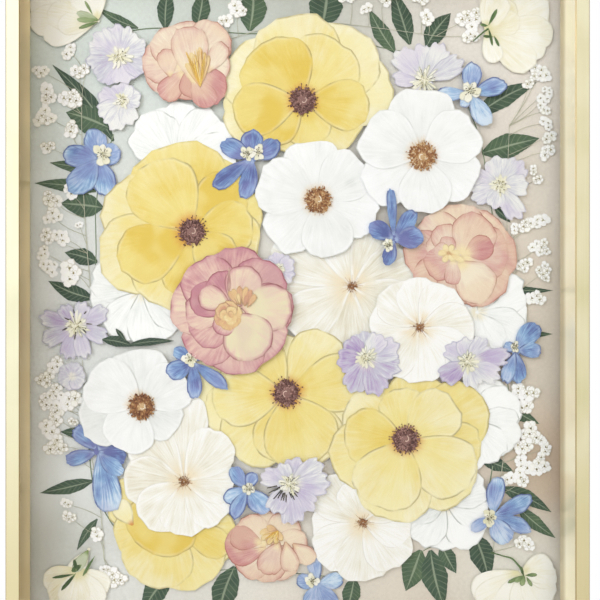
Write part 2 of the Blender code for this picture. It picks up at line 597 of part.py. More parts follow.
def main():
    clear_scene()
    parts = new_collection("pressed_flower_frame")
    cutters = new_collection("cutters")
    materials = {name: principled(name) for name in COLOURS}
    make_rails(parts, materials["gold"])
    make_sheet("glass_pane", GLASS_FRONT, GLASS_THICKNESS, parts, materials["glass"])
    make_sheet("backing_board", BOARD_FRONT, BOARD_THICKNESS, parts, materials["board"])
    make_hanger(parts, cutters, materials["steel"])
    for name in FLOWERS:
        make_flower(name, parts, materials)
    for name in LEAF_SPRIGS:
        make_leaf_sprig(name, parts, cutters, materials["leaf"])
    for name in GYPSOPHILA:
        make_gypsophila(name, parts, cutters, materials["floret"])


main()
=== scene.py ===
# %% [markdown]
# # A pressed flower frame, dressed step by step
#
# The real object is a slim gold metal frame. Behind its glass lies a grey board, and on the board a spray
# of pressed poppies, anemones, roses, larkspur, scabious, leaves and gypsophila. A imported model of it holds
# every piece as a plain solid. The lesson keeps the solids of the frame and gives each one its finish, and
# it lays real petals, one by one, where the model only has a flat plate for each flower.

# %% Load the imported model
import math

import bpy
import numpy as np
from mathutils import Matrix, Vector


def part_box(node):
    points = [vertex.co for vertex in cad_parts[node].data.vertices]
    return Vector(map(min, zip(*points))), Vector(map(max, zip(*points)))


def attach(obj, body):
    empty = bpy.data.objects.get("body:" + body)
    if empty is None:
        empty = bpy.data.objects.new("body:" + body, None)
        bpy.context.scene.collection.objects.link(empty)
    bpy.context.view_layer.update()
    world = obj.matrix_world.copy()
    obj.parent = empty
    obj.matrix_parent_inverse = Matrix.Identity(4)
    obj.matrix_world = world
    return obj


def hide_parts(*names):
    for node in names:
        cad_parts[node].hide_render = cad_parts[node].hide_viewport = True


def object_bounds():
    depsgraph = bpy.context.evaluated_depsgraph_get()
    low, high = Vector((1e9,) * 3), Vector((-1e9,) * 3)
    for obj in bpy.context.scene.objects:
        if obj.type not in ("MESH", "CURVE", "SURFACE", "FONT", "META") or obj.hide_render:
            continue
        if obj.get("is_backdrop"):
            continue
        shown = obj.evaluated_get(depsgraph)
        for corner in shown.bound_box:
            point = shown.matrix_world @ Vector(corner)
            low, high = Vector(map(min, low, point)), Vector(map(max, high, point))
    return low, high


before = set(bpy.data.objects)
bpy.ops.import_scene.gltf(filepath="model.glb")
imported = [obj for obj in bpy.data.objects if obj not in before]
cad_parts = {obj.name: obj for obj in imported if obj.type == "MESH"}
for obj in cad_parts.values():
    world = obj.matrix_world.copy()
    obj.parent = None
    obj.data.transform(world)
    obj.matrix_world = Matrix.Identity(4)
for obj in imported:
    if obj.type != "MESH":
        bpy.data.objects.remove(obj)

MM = 0.001
packed_box = [list(corner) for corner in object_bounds()]
print("packed pieces:", len(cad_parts))

# %% [markdown]
# ## Where things are
#
# Everything lies on the board, so the lesson counts from the middle of the board's face: to the right, up,
# and forwards to the glass, all in millimetres. The numbers could be typed in again, but the board's own box
# already holds them, and a place read from the model can't drift away from it. Each pressed flower has its
# own thin level above the board, and the back of its solid tells how high that level lies.

# %% Places on the board
board_low, board_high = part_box("backing_board")
BOARD_FACE = board_low.y
BOARD_MIDDLE = (board_low.z + board_high.z) / 2
frame_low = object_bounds()[0]


def level_of(node):
    """How far in front of the board a node's solid starts, in millimetres."""
    return (BOARD_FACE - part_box(node)[1].y) / MM


def to_world(points):
    """Rows of (right, up, forward) millimetres as places in the frame, in metres."""
    right, up, forward = np.asarray(points, float).T * MM
    return np.stack([right, BOARD_FACE - forward, BOARD_MIDDLE + up], axis=1)


print("board face at y =", round(BOARD_FACE, 4), "and its middle at z =", round(BOARD_MIDDLE, 4))

# %% [markdown]
# ## The camera
#
# The picture is taken from close by, a little left of the middle, so more of the right-hand inner wall shows
# than of the left one. Turning the camera would make the rails lean together. A lens shift keeps them
# parallel, as a photographer of flat work would do it, and it is only as large as that framing needs.

# %% Camera
VIEW_WIDTH = 414.4 * MM
CAMERA_LEFT = 37 * MM
CAMERA_AWAY = 533 * MM
PICTURE_MIDDLE = 1.6 * MM
SENSOR = 36

camera_data = bpy.data.cameras.new("camera")
camera_data.sensor_width = SENSOR
camera_data.lens = SENSOR * CAMERA_AWAY / VIEW_WIDTH
camera_data.shift_x = (PICTURE_MIDDLE + CAMERA_LEFT) / VIEW_WIDTH
camera = bpy.data.objects.new("camera", camera_data)
camera.location = (-CAMERA_LEFT, frame_low.y - CAMERA_AWAY, BOARD_MIDDLE)
camera.rotation_euler = (math.radians(90), 0, 0)
bpy.context.scene.collection.objects.link(camera)
bpy.context.scene.camera = camera
print("lens", round(camera_data.lens, 1), "mm, shift", round(camera_data.shift_x, 3))

# %% [markdown]
# ## Readings
#
# A finish is a small calculation that the renderer does again at every point: it reads a place or a noise,
# and works out a colour from it. Linking Math nodes one by one hides what is calculated. So an output is
# wrapped up as a reading, and adding or multiplying readings adds the Math node for it.

# %% Nodes and readings
def new_node(tree, kind, **settings):
    """Add a shader node and set its properties by name."""
    node = tree.nodes.new("ShaderNode" + kind)
    for name, value in settings.items():
        setattr(node, name, value)
    return node


class Reading:
    """A value that the renderer works out at each point. Its sums and products are Math nodes."""

    def __init__(self, socket):
        self.socket = socket
        self.tree = socket.id_data

    def calculate(self, operation, other=0.0, clamp=False):
        node = new_node(self.tree, "Math", operation=operation, use_clamp=clamp)
        join(self, node.inputs[0])
        join(other, node.inputs[1])
        return Reading(node.outputs[0])

    def __add__(self, other):
        return self.calculate("ADD", other)

    def __sub__(self, other):
        return self.calculate("SUBTRACT", other)

    def __mul__(self, other):
        return self.calculate("MULTIPLY", other)

    def __rsub__(self, number):
        return self * -1 + number


def join(start, end):
    """Link a reading to an input, or put a plain value in the input."""
    if isinstance(start, Reading):
        start.tree.links.new(start.socket, end)
    else:
        end.default_value = start


def read(tree, kind, output, **settings):
    """A new node's output as a reading."""
    return Reading(new_node(tree, kind, **settings).outputs[output])


def parts_of(vector):
    """The x, y and z of a vector, as three readings."""
    node = new_node(vector.tree, "SeparateXYZ")
    join(vector, node.inputs[0])
    return [Reading(output) for output in node.outputs]


print("readings take +, - and *, and calculate() does the rest")

# %% [markdown]
# ## Colours and noise
#
# A painter picks colours by eye, and a colour written as six hexadecimal digits is what the eye picks on a
# screen. The renderer works with light, so each is turned into linear values once. Every finish is built
# with noise for what grew or was rubbed unevenly, because one flat colour looks like plastic.

# %% Colours, noise and bumps
def linear(code):
    """A screen colour such as "#efda7e" as linear red, green, blue and alpha."""
    screen = [int(code[place:place + 2], 16) / 255 for place in (1, 3, 5)]
    return [((c + 0.055) / 1.055) ** 2.4 if c > 0.04045 else c / 12.92 for c in screen] + [1.0]


def new_finish(name, roughness=0.7):
    """An empty material with a Principled shader, and its node tree and shader."""
    material = bpy.data.materials.new(name)
    material.use_nodes = True
    shader = material.node_tree.nodes["Principled BSDF"]
    shader.inputs["Roughness"].default_value = roughness
    return material, material.node_tree, shader


def cloud(tree, scale, where=None, detail=3.0, stretch=(1, 1, 1)):
    """A noise value between 0 and 1, on object coordinates in metres unless told where."""
    mapping = new_node(tree, "Mapping")
    mapping.inputs["Scale"].default_value = stretch
    join(where or read(tree, "TexCoord", "Object"), mapping.inputs["Vector"])
    texture = new_node(tree, "TexNoise")
    texture.inputs["Scale"].default_value = scale
    texture.inputs["Detail"].default_value = detail
    join(Reading(mapping.outputs[0]), texture.inputs["Vector"])
    return Reading(texture.outputs["Fac"])


def ramp(value, colours, places=None):
    """A colour ramp over a value, with its colours evenly spread unless told where."""
    node = new_node(value.tree, "ValToRGB")
    points = node.color_ramp.elements
    while len(points) < len(colours):
        points.new(0.5)
    for point, place, colour in zip(points, places or np.linspace(0, 1, len(colours)), colours):
        point.position = place
        point.color = linear(colour)
    join(value, node.inputs["Fac"])
    return Reading(node.outputs["Color"])


def blend(share, first, second):
    """Mix two colours by a share, and return the mixed colour."""
    node = new_node(share.tree, "Mix", data_type="RGBA")
    join(share, node.inputs[0])
    for colour, place in ((first, 6), (second, 7)):
        join(linear(colour) if isinstance(colour, str) else colour, node.inputs[place])
    return Reading(node.outputs[2])


def rescale(value, from_low, from_high, to_low=0.0, to_high=1.0):
    """Map a value from one range to another, smoothly and kept inside it."""
    node = new_node(value.tree, "MapRange", interpolation_type="SMOOTHSTEP")
    join(value, node.inputs["Value"])
    for place, number in enumerate((from_low, from_high, to_low, to_high), 1):
        node.inputs[place].default_value = number
    return Reading(node.outputs[0])


def emboss(shader, height, strength, distance):
    """Give a shader a bump from a height, whose full swing is a distance in millimetres."""
    bump = new_node(height.tree, "Bump")
    bump.inputs["Strength"].default_value = strength
    bump.inputs["Distance"].default_value = distance * MM
    join(height, bump.inputs["Height"])
    join(Reading(bump.outputs[0]), shader.inputs["Normal"])


print("a middle grey of 50 % on the screen is", round(linear("#808080")[0], 2), "as light")

# %% [markdown]
# ## Soft studio light
#
# A pressed picture looks best in broad, even light. A pale sky gives most of it, strongest from the front,
# and one large soft lamp at the upper left gives the petals their faint shading. The sky is a little cooler
# and brighter on the left than on the right. The metal mirrors the sky without its bright front, so that
# the rails keep their own tone. The background that the camera sees is plain white.

# %% Sky
SKY_LEFT = 0.7
SKY_RIGHT = 0.62
SKY_HIGH = 0.25
SKY_FRONT = 1.58
FRONT_FOCUS = 3
LEFT_LIGHT = "#edf5ff"
RIGHT_LIGHT = "#fff2de"

world = bpy.data.worlds.new("soft_sky")
world.use_nodes = True
sky = world.node_tree
sky.nodes.clear()
right, back, up = parts_of(read(sky, "TexCoord", "Generated"))
camera_ray = read(sky, "LightPath", "Is Camera Ray")
mirror_ray = read(sky, "LightPath", "Is Glossy Ray")
strength = right * ((SKY_RIGHT - SKY_LEFT) / 2) + (SKY_LEFT + SKY_RIGHT) / 2 + up * SKY_HIGH
front = back.calculate("MULTIPLY", -1, clamp=True).calculate("POWER", FRONT_FOCUS) * SKY_FRONT
strength = strength + front * (1 - mirror_ray)
background = new_node(sky, "Background")
warmth = blend(rescale(right, -0.5, 0.7), LEFT_LIGHT, RIGHT_LIGHT)
join(blend(camera_ray, warmth, "#ffffff"), background.inputs["Color"])
join(strength * (1 - camera_ray) + camera_ray, background.inputs["Strength"])
join(Reading(background.outputs[0]), new_node(sky, "OutputWorld").inputs["Surface"])
bpy.context.scene.world = world
bpy.context.scene.view_settings.view_transform = "Standard"
print("sky from", SKY_RIGHT, "to", SKY_LEFT, "with", SKY_FRONT, "more in front")

# %% [markdown]
# ## Lamp and floor
#
# The lamp is a square of more than a metre, because a small one would draw hard shadows under the petals.
# The frame hangs, so the floor lies well below it and only catches light.

# %% Lamp and floor
LAMP_SIZE = 1.1
LAMP_PLACE = Vector((-1.3, -1.1, 0.45))
LAMP_POWER = 19
FLOOR_BELOW = 0.12
FLOOR_SIDE = 1.5
FLOOR_FRONT = -1.6
FLOOR_BACK = 0.25

lamp_data = bpy.data.lights.new("soft_lamp", "AREA")
lamp_data.shape = "SQUARE"
lamp_data.size = LAMP_SIZE
lamp_data.energy = LAMP_POWER
lamp = bpy.data.objects.new("soft_lamp", lamp_data)
lamp.location = LAMP_PLACE
lamp.rotation_euler = (Vector((0, 0, BOARD_MIDDLE)) - LAMP_PLACE).to_track_quat("-Z", "Y").to_euler()
bpy.context.scene.collection.objects.link(lamp)

floor_mesh = bpy.data.meshes.new("floor")
corners = [(-FLOOR_SIDE, FLOOR_FRONT, 0), (FLOOR_SIDE, FLOOR_FRONT, 0), (FLOOR_SIDE, FLOOR_BACK, 0),
           (-FLOOR_SIDE, FLOOR_BACK, 0)]
floor_mesh.from_pydata(corners, [], [(0, 1, 2, 3)])
floor = bpy.data.objects.new("floor", floor_mesh)
floor.location.z = frame_low.z - FLOOR_BELOW
bpy.context.scene.collection.objects.link(floor)
floor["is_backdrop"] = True
print("a lamp of", LAMP_POWER, "W, and a floor at z =", round(floor.location.z, 3))

# %% [markdown]
# ## Gold rails
#
# The rails are extruded metal with a pale gold anodised skin, soft in its shine, with fine drawing marks.
# The solids already have the right section and mitred corners, so they stay, and only their finish is made.
# The faces carry painted light, paler towards the left and the top where the metal catches the window, and
# painted shade, darker towards the bottom. Walls that face left are painted lit and walls that face right
# painted shaded; the inner walls also get painted shade along their front edge and behind the glass, and
# the bevels a painted dark line of shade. Each rail needs its marks along its own length, so the stretch of
# the noise follows the rail.

# %% Gold metal
FACE_GOLD = ["#cdc79c", "#d7d1ac", "#dfdbbd"]
# Painted light on the faces, towards the left and the top.
PAINTED_LIGHT_GOLD = "#e9e7cc"
# Painted shade on the faces, towards the bottom.
PAINTED_SHADE_LOW_GOLD = "#c6b98c"
# Lit and shaded copies of the wall colour: painted light and painted shade.
LIT_WALL = ["#efe6c6", "#f6eed1", "#faf4dd"]
SHADED_WALL = ["#dcc798", "#e6d3a6", "#edddb2"]
# Painted shade along the walls' front edge, behind the glass and on the bevels.
PAINTED_SHADE_GOLD = "#a08c62"
GOLD_SPREAD = [0.3, 0.5, 0.72]
WALL_FADE = 24 * MM
WALL_SHADE = 6 * MM
GLASS_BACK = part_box("glass_pane")[1].y


def gold_finish(name, stretch):
    """Pale gold with drawing marks along one axis, and painted light and shade on faces, walls and edges."""
    material, tree, shader = new_finish(name)
    shader.inputs["Metallic"].default_value = 0.4
    marks = cloud(tree, 900, detail=2.0, stretch=stretch)
    tone = marks * 0.25 + cloud(tree, 22, detail=2.0) * 0.75
    faces_right, faces_back, _ = parts_of(read(tree, "NewGeometry", "True Normal"))
    right, back, up = parts_of(read(tree, "TexCoord", "Object"))
    # Painted light: faces paler towards the left and the top; painted shade: darker towards the bottom.
    face = blend(rescale(right, 0.1, -0.19, 0.0, 0.55), ramp(tone, FACE_GOLD, GOLD_SPREAD), PAINTED_LIGHT_GOLD)
    face = blend(rescale(up, BOARD_MIDDLE + 0.06, BOARD_MIDDLE + 0.23, 0.0, 0.35), face, PAINTED_LIGHT_GOLD)
    face = blend(rescale(up, BOARD_MIDDLE - 0.02, BOARD_MIDDLE - 0.23, 0.0, 0.75), face, PAINTED_SHADE_LOW_GOLD)
    # Painted light and shade: walls that face left take the lit colours, walls that face right the shaded
    # ones.
    wall = blend(rescale(faces_right, 0.9, -0.9), ramp(tone, SHADED_WALL, GOLD_SPREAD),
                 ramp(tone, LIT_WALL, GOLD_SPREAD))
    # Painted shade on the walls: darker along the front edge, most on the left rail, and behind the glass,
    # most on the right rail.
    near = rescale(back, frame_low.y + WALL_FADE, frame_low.y) * rescale(faces_right, -0.9, 0.9, 0.1, 0.55)
    behind = rescale(back, GLASS_BACK - 2.4 * WALL_SHADE, GLASS_BACK - WALL_SHADE)
    behind = behind * rescale(faces_right, 0.9, -0.9, 0.0, 0.6)
    wall = blend(near.calculate("MAXIMUM", behind), wall, PAINTED_SHADE_GOLD)
    # Painted shade: a dark line on the bevels between face and wall.
    frontal = faces_back.calculate("ABSOLUTE")
    edge = rescale(frontal, 0.2, 0.4) * rescale(frontal, 0.98, 0.9)
    colour = blend(edge, blend(rescale(frontal, 0.2, 0.1), face, wall), PAINTED_SHADE_GOLD)
    join(colour, shader.inputs["Base Color"])
    join(rescale(tone, 0.3, 0.7, 0.3, 0.4), shader.inputs["Roughness"])
    emboss(shader, marks, 0.12, 0.02)
    return material


def dress(node, material):
    """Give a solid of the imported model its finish."""
    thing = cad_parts[node]
    thing.data.materials.clear()
    thing.data.materials.append(material)


lying_gold = gold_finish("gold_lying", (0.02, 1, 1))
standing_gold = gold_finish("gold_standing", (1, 1, 0.02))
for sides, gold in ((("top", "bottom"), lying_gold), (("left", "right"), standing_gold)):
    for side in sides:
        dress("rail_" + side, gold)
print("four gold rails dressed")

# %% [markdown]
# ## The board
#
# The board is matt paper over card. Its colour carries painted light and shade: cooler on the left, warmer
# and darker on the right, darker in the top middle and paler at the top right, with two patches of painted
# shade near the right and lower-left rails and two of painted light on the right side. A slow mottle and a
# fine tooth break it up further. The card shows its own plain colour at the back, so the finish looks at
# which way the surface faces.

# %% Board finish
# Painted light and shade across the board: its tone from left to right, and towards the top.
LEFT_BOARD, MIDDLE_BOARD, RIGHT_BOARD = "#e7ebe9", "#e9e4d9", "#e1d6c6"
TOP_LEFT_BOARD, TOP_BOARD, TOP_RIGHT_BOARD = "#e0eae4", "#c6cac2", "#eee7dd"
CARD_BACK = "#bfb5a2"
MOTTLE = "#8f887e"
# Patches of painted shade near the right and lower-left rails, and of painted light on the right side.
LIGHT_AND_SHADE_PATCHES = [((190, -120), 66, 0.9, "#cdb79e"), ((-175, -185), 55, 0.7, "#c6c8bf"),
          ((160, -205), 72, 0.75, "#ecebe0"), ((192, 92), 70, 0.7, "#ebe3d6")]


def board_finish():
    """Warm grey paper, mottled and slightly toothed, with painted light and shade across it and in patches.
    """
    material, tree, shader = new_finish("grey_board_paper", 0.92)
    fine = cloud(tree, 420, detail=4.0)
    tone = cloud(tree, 9, detail=2.0) * 0.6 + fine * 0.4
    spot = read(tree, "TexCoord", "Object")
    right, _, up = parts_of(spot)
    sideways = rescale(right, board_low.x, board_high.x)
    colour = blend(rescale(up, BOARD_MIDDLE + 0.01, BOARD_MIDDLE + 0.18),
                   ramp(sideways, [LEFT_BOARD, MIDDLE_BOARD, RIGHT_BOARD]),
                   ramp(sideways, [TOP_LEFT_BOARD, TOP_BOARD, TOP_RIGHT_BOARD]))
    # Each patch is painted shade or painted light, fading out from its middle.
    for place, reach, share, patch_colour in LIGHT_AND_SHADE_PATCHES:
        away = new_node(tree, "VectorMath", operation="DISTANCE")
        join(spot, away.inputs[0])
        away.inputs[1].default_value = to_world([(*place, 0)])[0]
        patch_share = rescale(Reading(away.outputs["Value"]), reach * MM, 0.15 * reach * MM, 0.0, share)
        colour = blend(patch_share, colour, patch_colour)
    _, faces_back, _ = parts_of(read(tree, "NewGeometry", "True Normal"))
    colour = blend(rescale(faces_back, -0.3, 0.3), colour, CARD_BACK)
    join(blend(rescale(tone, 0.35, 0.65, 0.16, 0.0), colour, MOTTLE), shader.inputs["Base Color"])
    emboss(shader, fine, 0.3, 0.06)
    return material


dress("backing_board", board_finish())
print("board dressed, with", len(LIGHT_AND_SHADE_PATCHES), "light_and_shade_patches")

# %% [markdown]
# ## Glass and hanger
#
# Glass could be a shader that bends light, but then light reaches the flowers only in noisy specks. A thin
# flat pane bends nothing that the eye would notice, so a clear film that takes a little of the light and
# mirrors more at a slant does the same job. It mirrors on the outer side of each face alone: seen from
# inside the glass, the slant formula would turn the pane black. The hanger is plated steel with the flaky
# bloom of zinc.

# %% Glass and hanger finishes
GLASS_TINT = "#f6f6f6"
FILM_IOR = 1.3
ZINC = ["#8f9190", "#a9aba9", "#c2c3bf"]


def glass_finish():
    """A clear film that mirrors more at a slant, but only where light comes in, not where it goes out."""
    material, tree, shader = new_finish("clear_pane")
    tree.nodes.remove(shader)
    clear = new_node(tree, "BsdfTransparent")
    clear.inputs["Color"].default_value = linear(GLASS_TINT)
    mirror = new_node(tree, "BsdfGlossy")
    mirror.inputs["Roughness"].default_value = 0.02
    slant = new_node(tree, "Fresnel")
    slant.inputs["IOR"].default_value = FILM_IOR
    mix = new_node(tree, "MixShader")
    join(Reading(slant.outputs[0]) * (1 - read(tree, "NewGeometry", "Backfacing")), mix.inputs[0])
    join(Reading(clear.outputs[0]), mix.inputs[1])
    join(Reading(mirror.outputs[0]), mix.inputs[2])
    join(Reading(mix.outputs[0]), tree.nodes["Material Output"].inputs["Surface"])
    return material


def steel_finish():
    """Zinc-plated steel with a crystalline bloom."""
    material, tree, shader = new_finish("hanger_zinc")
    shader.inputs["Metallic"].default_value = 1.0
    bloom = cloud(tree, 260, detail=5.0)
    join(ramp(bloom, ZINC), shader.inputs["Base Color"])
    join(rescale(bloom, 0.3, 0.7, 0.3, 0.48), shader.inputs["Roughness"])
    return material


dress("glass_pane", glass_finish())
dress("wall_hanger", steel_finish())
print("glass and hanger dressed")

# %% [markdown]
# ## The span of a petal
#
# Every petal here is the same kind of thing: a paper-thin fan that starts at the flower's middle and ends in
# a rounded edge. One could draw each outline by hand. A superellipse in polar form, a rounded fan about the
# flower's middle, needs only a direction, a length and a width, and it swells and closes like a real petal.
# The fan's half angle follows from the width at the place where such a shape is widest.

# %% Petal span
PETAL_ROUNDNESS = 2.5
WIDEST_SHARE = 0.5 ** (1 / PETAL_ROUNDNESS)
WIDEST_SINE = 0.97


def petal_span(length, width):
    """Half the angle that a petal takes up about its flower's middle."""
    return math.asin(min(WIDEST_SINE, width / (2 * WIDEST_SHARE * length))) / WIDEST_SHARE


print("a petal's fan of 60 x 50 mm spans", round(2 * math.degrees(petal_span(60, 50))), "degrees")

# %% [markdown]
# ## Sheaves and thin shells
#
# A flower's petals grew as one, so they end up in one mesh. Until then they are gathered in a sheaf: the
# points and faces so far, and for each point the numbers that its finish reads. A petal is a grid of rays
# and rings, once for its front and once for its back, closed along the border so that it is a solid sheet.

# %% Sheaves and shells
def new_sheaf():
    """Empty lists that petals, leaves and stems are added to."""
    return {"points": [], "faces": [], "count": 0, "place": [], "tone": [], "inset": [], "outward": []}


def add_points(sheaf, points, faces, place, tone, inset, outward):
    """Add one shape's points and faces to a sheaf, with what its finish reads at each point."""
    sheaf["faces"] += [tuple(corner + sheaf["count"] for corner in face) for face in faces]
    sheaf["points"].append(points)
    sheaf["place"].append(place)
    for name, values in (("tone", tone), ("inset", inset), ("outward", outward)):
        sheaf[name].append(np.broadcast_to(np.asarray(values, float), len(points)))
    sheaf["count"] += len(points)


def shell_faces(rows, columns):
    """Faces of a closed thin shell whose front and back are grids of rows and columns of points."""
    back = rows * columns
    faces = []
    for a in range(back - columns):
        if (a + 1) % columns:
            b, c, d = a + 1, a + columns + 1, a + columns
            faces += [(a, b, c, d), (back + a, back + d, back + c, back + b)]
    ring = list(range(columns)) + [row * columns + columns - 1 for row in range(1, rows)]
    ring += [(rows - 1) * columns + column for column in range(columns - 2, -1, -1)]
    ring += [row * columns for row in range(rows - 2, 0, -1)]
    return faces + [(b, a, back + a, back + b) for a, b in zip(ring, ring[1:] + ring[:1])]


def edge_distance(points, outline):
    """How far each point lies from an outline, in the outline's own plane."""
    start, run = outline[:-1], outline[1:] - outline[:-1]
    away = points[:, None, :] - start[None]
    share = np.clip((away * run).sum(2) / np.maximum((run ** 2).sum(1), 1e-9), 0, 1)
    return np.linalg.norm(away - share[..., None] * run, axis=2).min(1)


print("a shell of 3 by 4 points has", len(shell_faces(3, 4)), "faces")

# %% [markdown]
# ## Laying a petal
#
# A petal's edge is never a clean curve: it has waves, and in some kinds a notch or lobes, so these numbers
# come with the kind's form. Petals of one flower share one gentle relief, which keeps the stacked sheets
# from cutting through each other, and each lies a little further forward than the one before. Where a petal
# lies on others its tone may grow, because thin sheets on top of each other look deeper.

# %% Petals
BASE_SHARE = 0.05
LAST_RAY = math.radians(88)
PETAL_THICKNESS = 0.03
EDGE_WAVES = (1, 2, 3, 5, 8)
NOTCH_WIDTH = 0.18
FOLD_REACH = 25
UNDER_FADE = 2.5
FORM_DEFAULTS = {"roundness": PETAL_ROUNDNESS, "wave": 0.03, "lobe": 0.0, "lobes": 3, "notch": 0.0,
                 "lean": 0.05, "depth": 0.0}


def form_of(dice, **form):
    """A kind's form, filled up with the usual numbers and a relief: folds that run out from the middle."""
    form = FORM_DEFAULTS | form
    phases = dice.uniform(0, math.tau, 4)

    def relief(right, up):
        angle, radius = np.arctan2(up, right), np.hypot(right, up)
        folds = form["folds"]
        fold = np.sin(folds * angle + phases[0]) + 0.6 * np.sin((2 * folds + 1) * angle + phases[1])
        swell = np.sin(right / 9 + phases[2]) * np.cos(up / 8 + phases[3])
        return form["height"] * (0.5 * fold * np.minimum(radius / FOLD_REACH, 1.5) + 0.6 * swell)

    return form | {"relief": relief}


def waves(angles, dice, counts, size):
    """A wavy line over some angles: sines with whole counts of waves and loose phases."""
    total = np.zeros_like(angles)
    for count in counts:
        total += dice.uniform(0.5, 1) * np.sin(count * angles + dice.uniform(0, math.tau))
    return size * total / len(counts)


def turned(place, right, up, angle):
    """Points of a flat shape, turned by an angle and moved to a place."""
    return (place[0] + right * math.cos(angle) - up * math.sin(angle),
            place[1] + right * math.sin(angle) + up * math.cos(angle))


def sheets_under(right, up, middle, petals):
    """How many of the petals that were laid before lie under each point, fading in over their last bit."""
    count = np.zeros_like(right)
    for way, length, width, _, *start in petals:
        start = start or middle
        across, out = right - start[0], up - start[1]
        turn = (np.degrees(np.arctan2(out, across)) - way + 180) % 360 - 180
        share = np.minimum(np.abs(np.radians(turn)) / petal_span(length, width), 1)
        reach = length * (1 - share ** PETAL_ROUNDNESS) ** (1 / PETAL_ROUNDNESS)
        count += np.clip((reach - np.hypot(across, out)) / UNDER_FADE, 0, 1)
    return count


def lay_petal(sheaf, middle, petal, form, lift, dice, below=()):
    """Add a petal (direction, length, width, tone, and where it starts if not in the middle) to a sheaf."""
    way, length, width, tone, *start = petal
    rows, columns = form["grid"]
    ray = np.linspace(-LAST_RAY, LAST_RAY, columns)
    across = np.sign(ray) * np.abs(np.sin(ray)) ** (2 / form["roundness"])
    reach = np.cos(ray) ** (2 / form["roundness"])
    reach *= 1 + waves(across * math.pi, dice, EDGE_WAVES, form["wave"])
    reach *= 1 - form["lobe"] * np.abs(np.sin(across * form["lobes"] * math.pi / 2)) ** 4
    reach *= 1 - form["notch"] * np.exp(-(across / NOTCH_WIDTH) ** 2)
    share = BASE_SHARE + (1 - BASE_SHARE) * np.linspace(0, 1, rows) ** 0.8
    radius = length * np.outer(share, reach)
    lean = dice.uniform(-1, 1) * form["lean"]
    angle = petal_span(length, width) * across[None] + lean * (radius / length) ** 2
    flat = np.stack([radius * np.cos(angle), radius * np.sin(angle)], axis=2).reshape(-1, 2)
    inset = edge_distance(flat, flat[-columns:])
    right, up = turned(start or middle, flat[:, 0], flat[:, 1], math.radians(way))
    outward = radius.reshape(-1) / length
    tone = tone + form["depth"] * (1 - np.exp(-sheets_under(right, up, middle, below) / 2))
    forward = lift + form["relief"](right - middle[0], up - middle[1])
    points = [np.stack([right, up, forward + rise], axis=1) for rise in (PETAL_THICKNESS, 0)]
    fan = [np.tile(across, rows) / 2 + dice.uniform(0, 50), outward + dice.uniform(0, 50)]
    place = np.tile(np.stack(fan, axis=1), (2, 1))
    add_points(sheaf, np.concatenate(points), shell_faces(rows, columns), place,
               np.tile(tone, 2), np.tile(inset, 2), np.tile(outward, 2))


print("a petal is", PETAL_THICKNESS, "mm thick")

# %% [markdown]
# ## From sheaf to piece
#
# When a sheaf is full it becomes a mesh. The numbers for the finish go with it: the place on the petal as a
# UV map, the others as named attributes.

# %% Pieces
def finish_piece(sheaf, name, material, node):
    """Turn a sheaf into a mesh object with its finish, in place of a node's solid."""
    mesh = bpy.data.meshes.new(name)
    mesh.from_pydata(to_world(np.concatenate(sheaf["points"])).tolist(), [], sheaf["faces"])
    mesh.materials.append(material)
    corners = np.empty(len(mesh.loops), np.int32)
    mesh.loops.foreach_get("vertex_index", corners)
    place = np.concatenate(sheaf["place"])[corners].astype(np.float32)
    mesh.uv_layers.new(name="petal").data.foreach_set("uv", place.ravel())
    for word in ("tone", "inset", "outward"):
        values = np.concatenate(sheaf[word]).astype(np.float32)
        mesh.attributes.new(word, "FLOAT", "POINT").data.foreach_set("value", values)
    mesh.shade_smooth()
    mesh.set_sharp_from_angle(angle=math.radians(50))
    piece = bpy.data.objects.new(name, mesh)
    bpy.context.scene.collection.objects.link(piece)
    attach(piece, "root")
    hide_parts(node)


print("pieces ride on the frame's one body, root")

# %% [markdown]
# ## The skin of a petal
#
# A pressed petal is thin and matt. Its colour is deepest where it was thick, near the flower's middle, and
# fades towards the edge. Fine veins run out from the base, and old bruises leave soft blotches; on the white
# kinds the grey blotches are painted shade of their ruffles. The very edge is darker, partly as the dried
# edge itself and partly as a painted shade line where a petal lies over what is behind it. An image could
# show all this, but nodes keep it sharp at any distance, and one recipe with other colours serves every kind
# of flower.

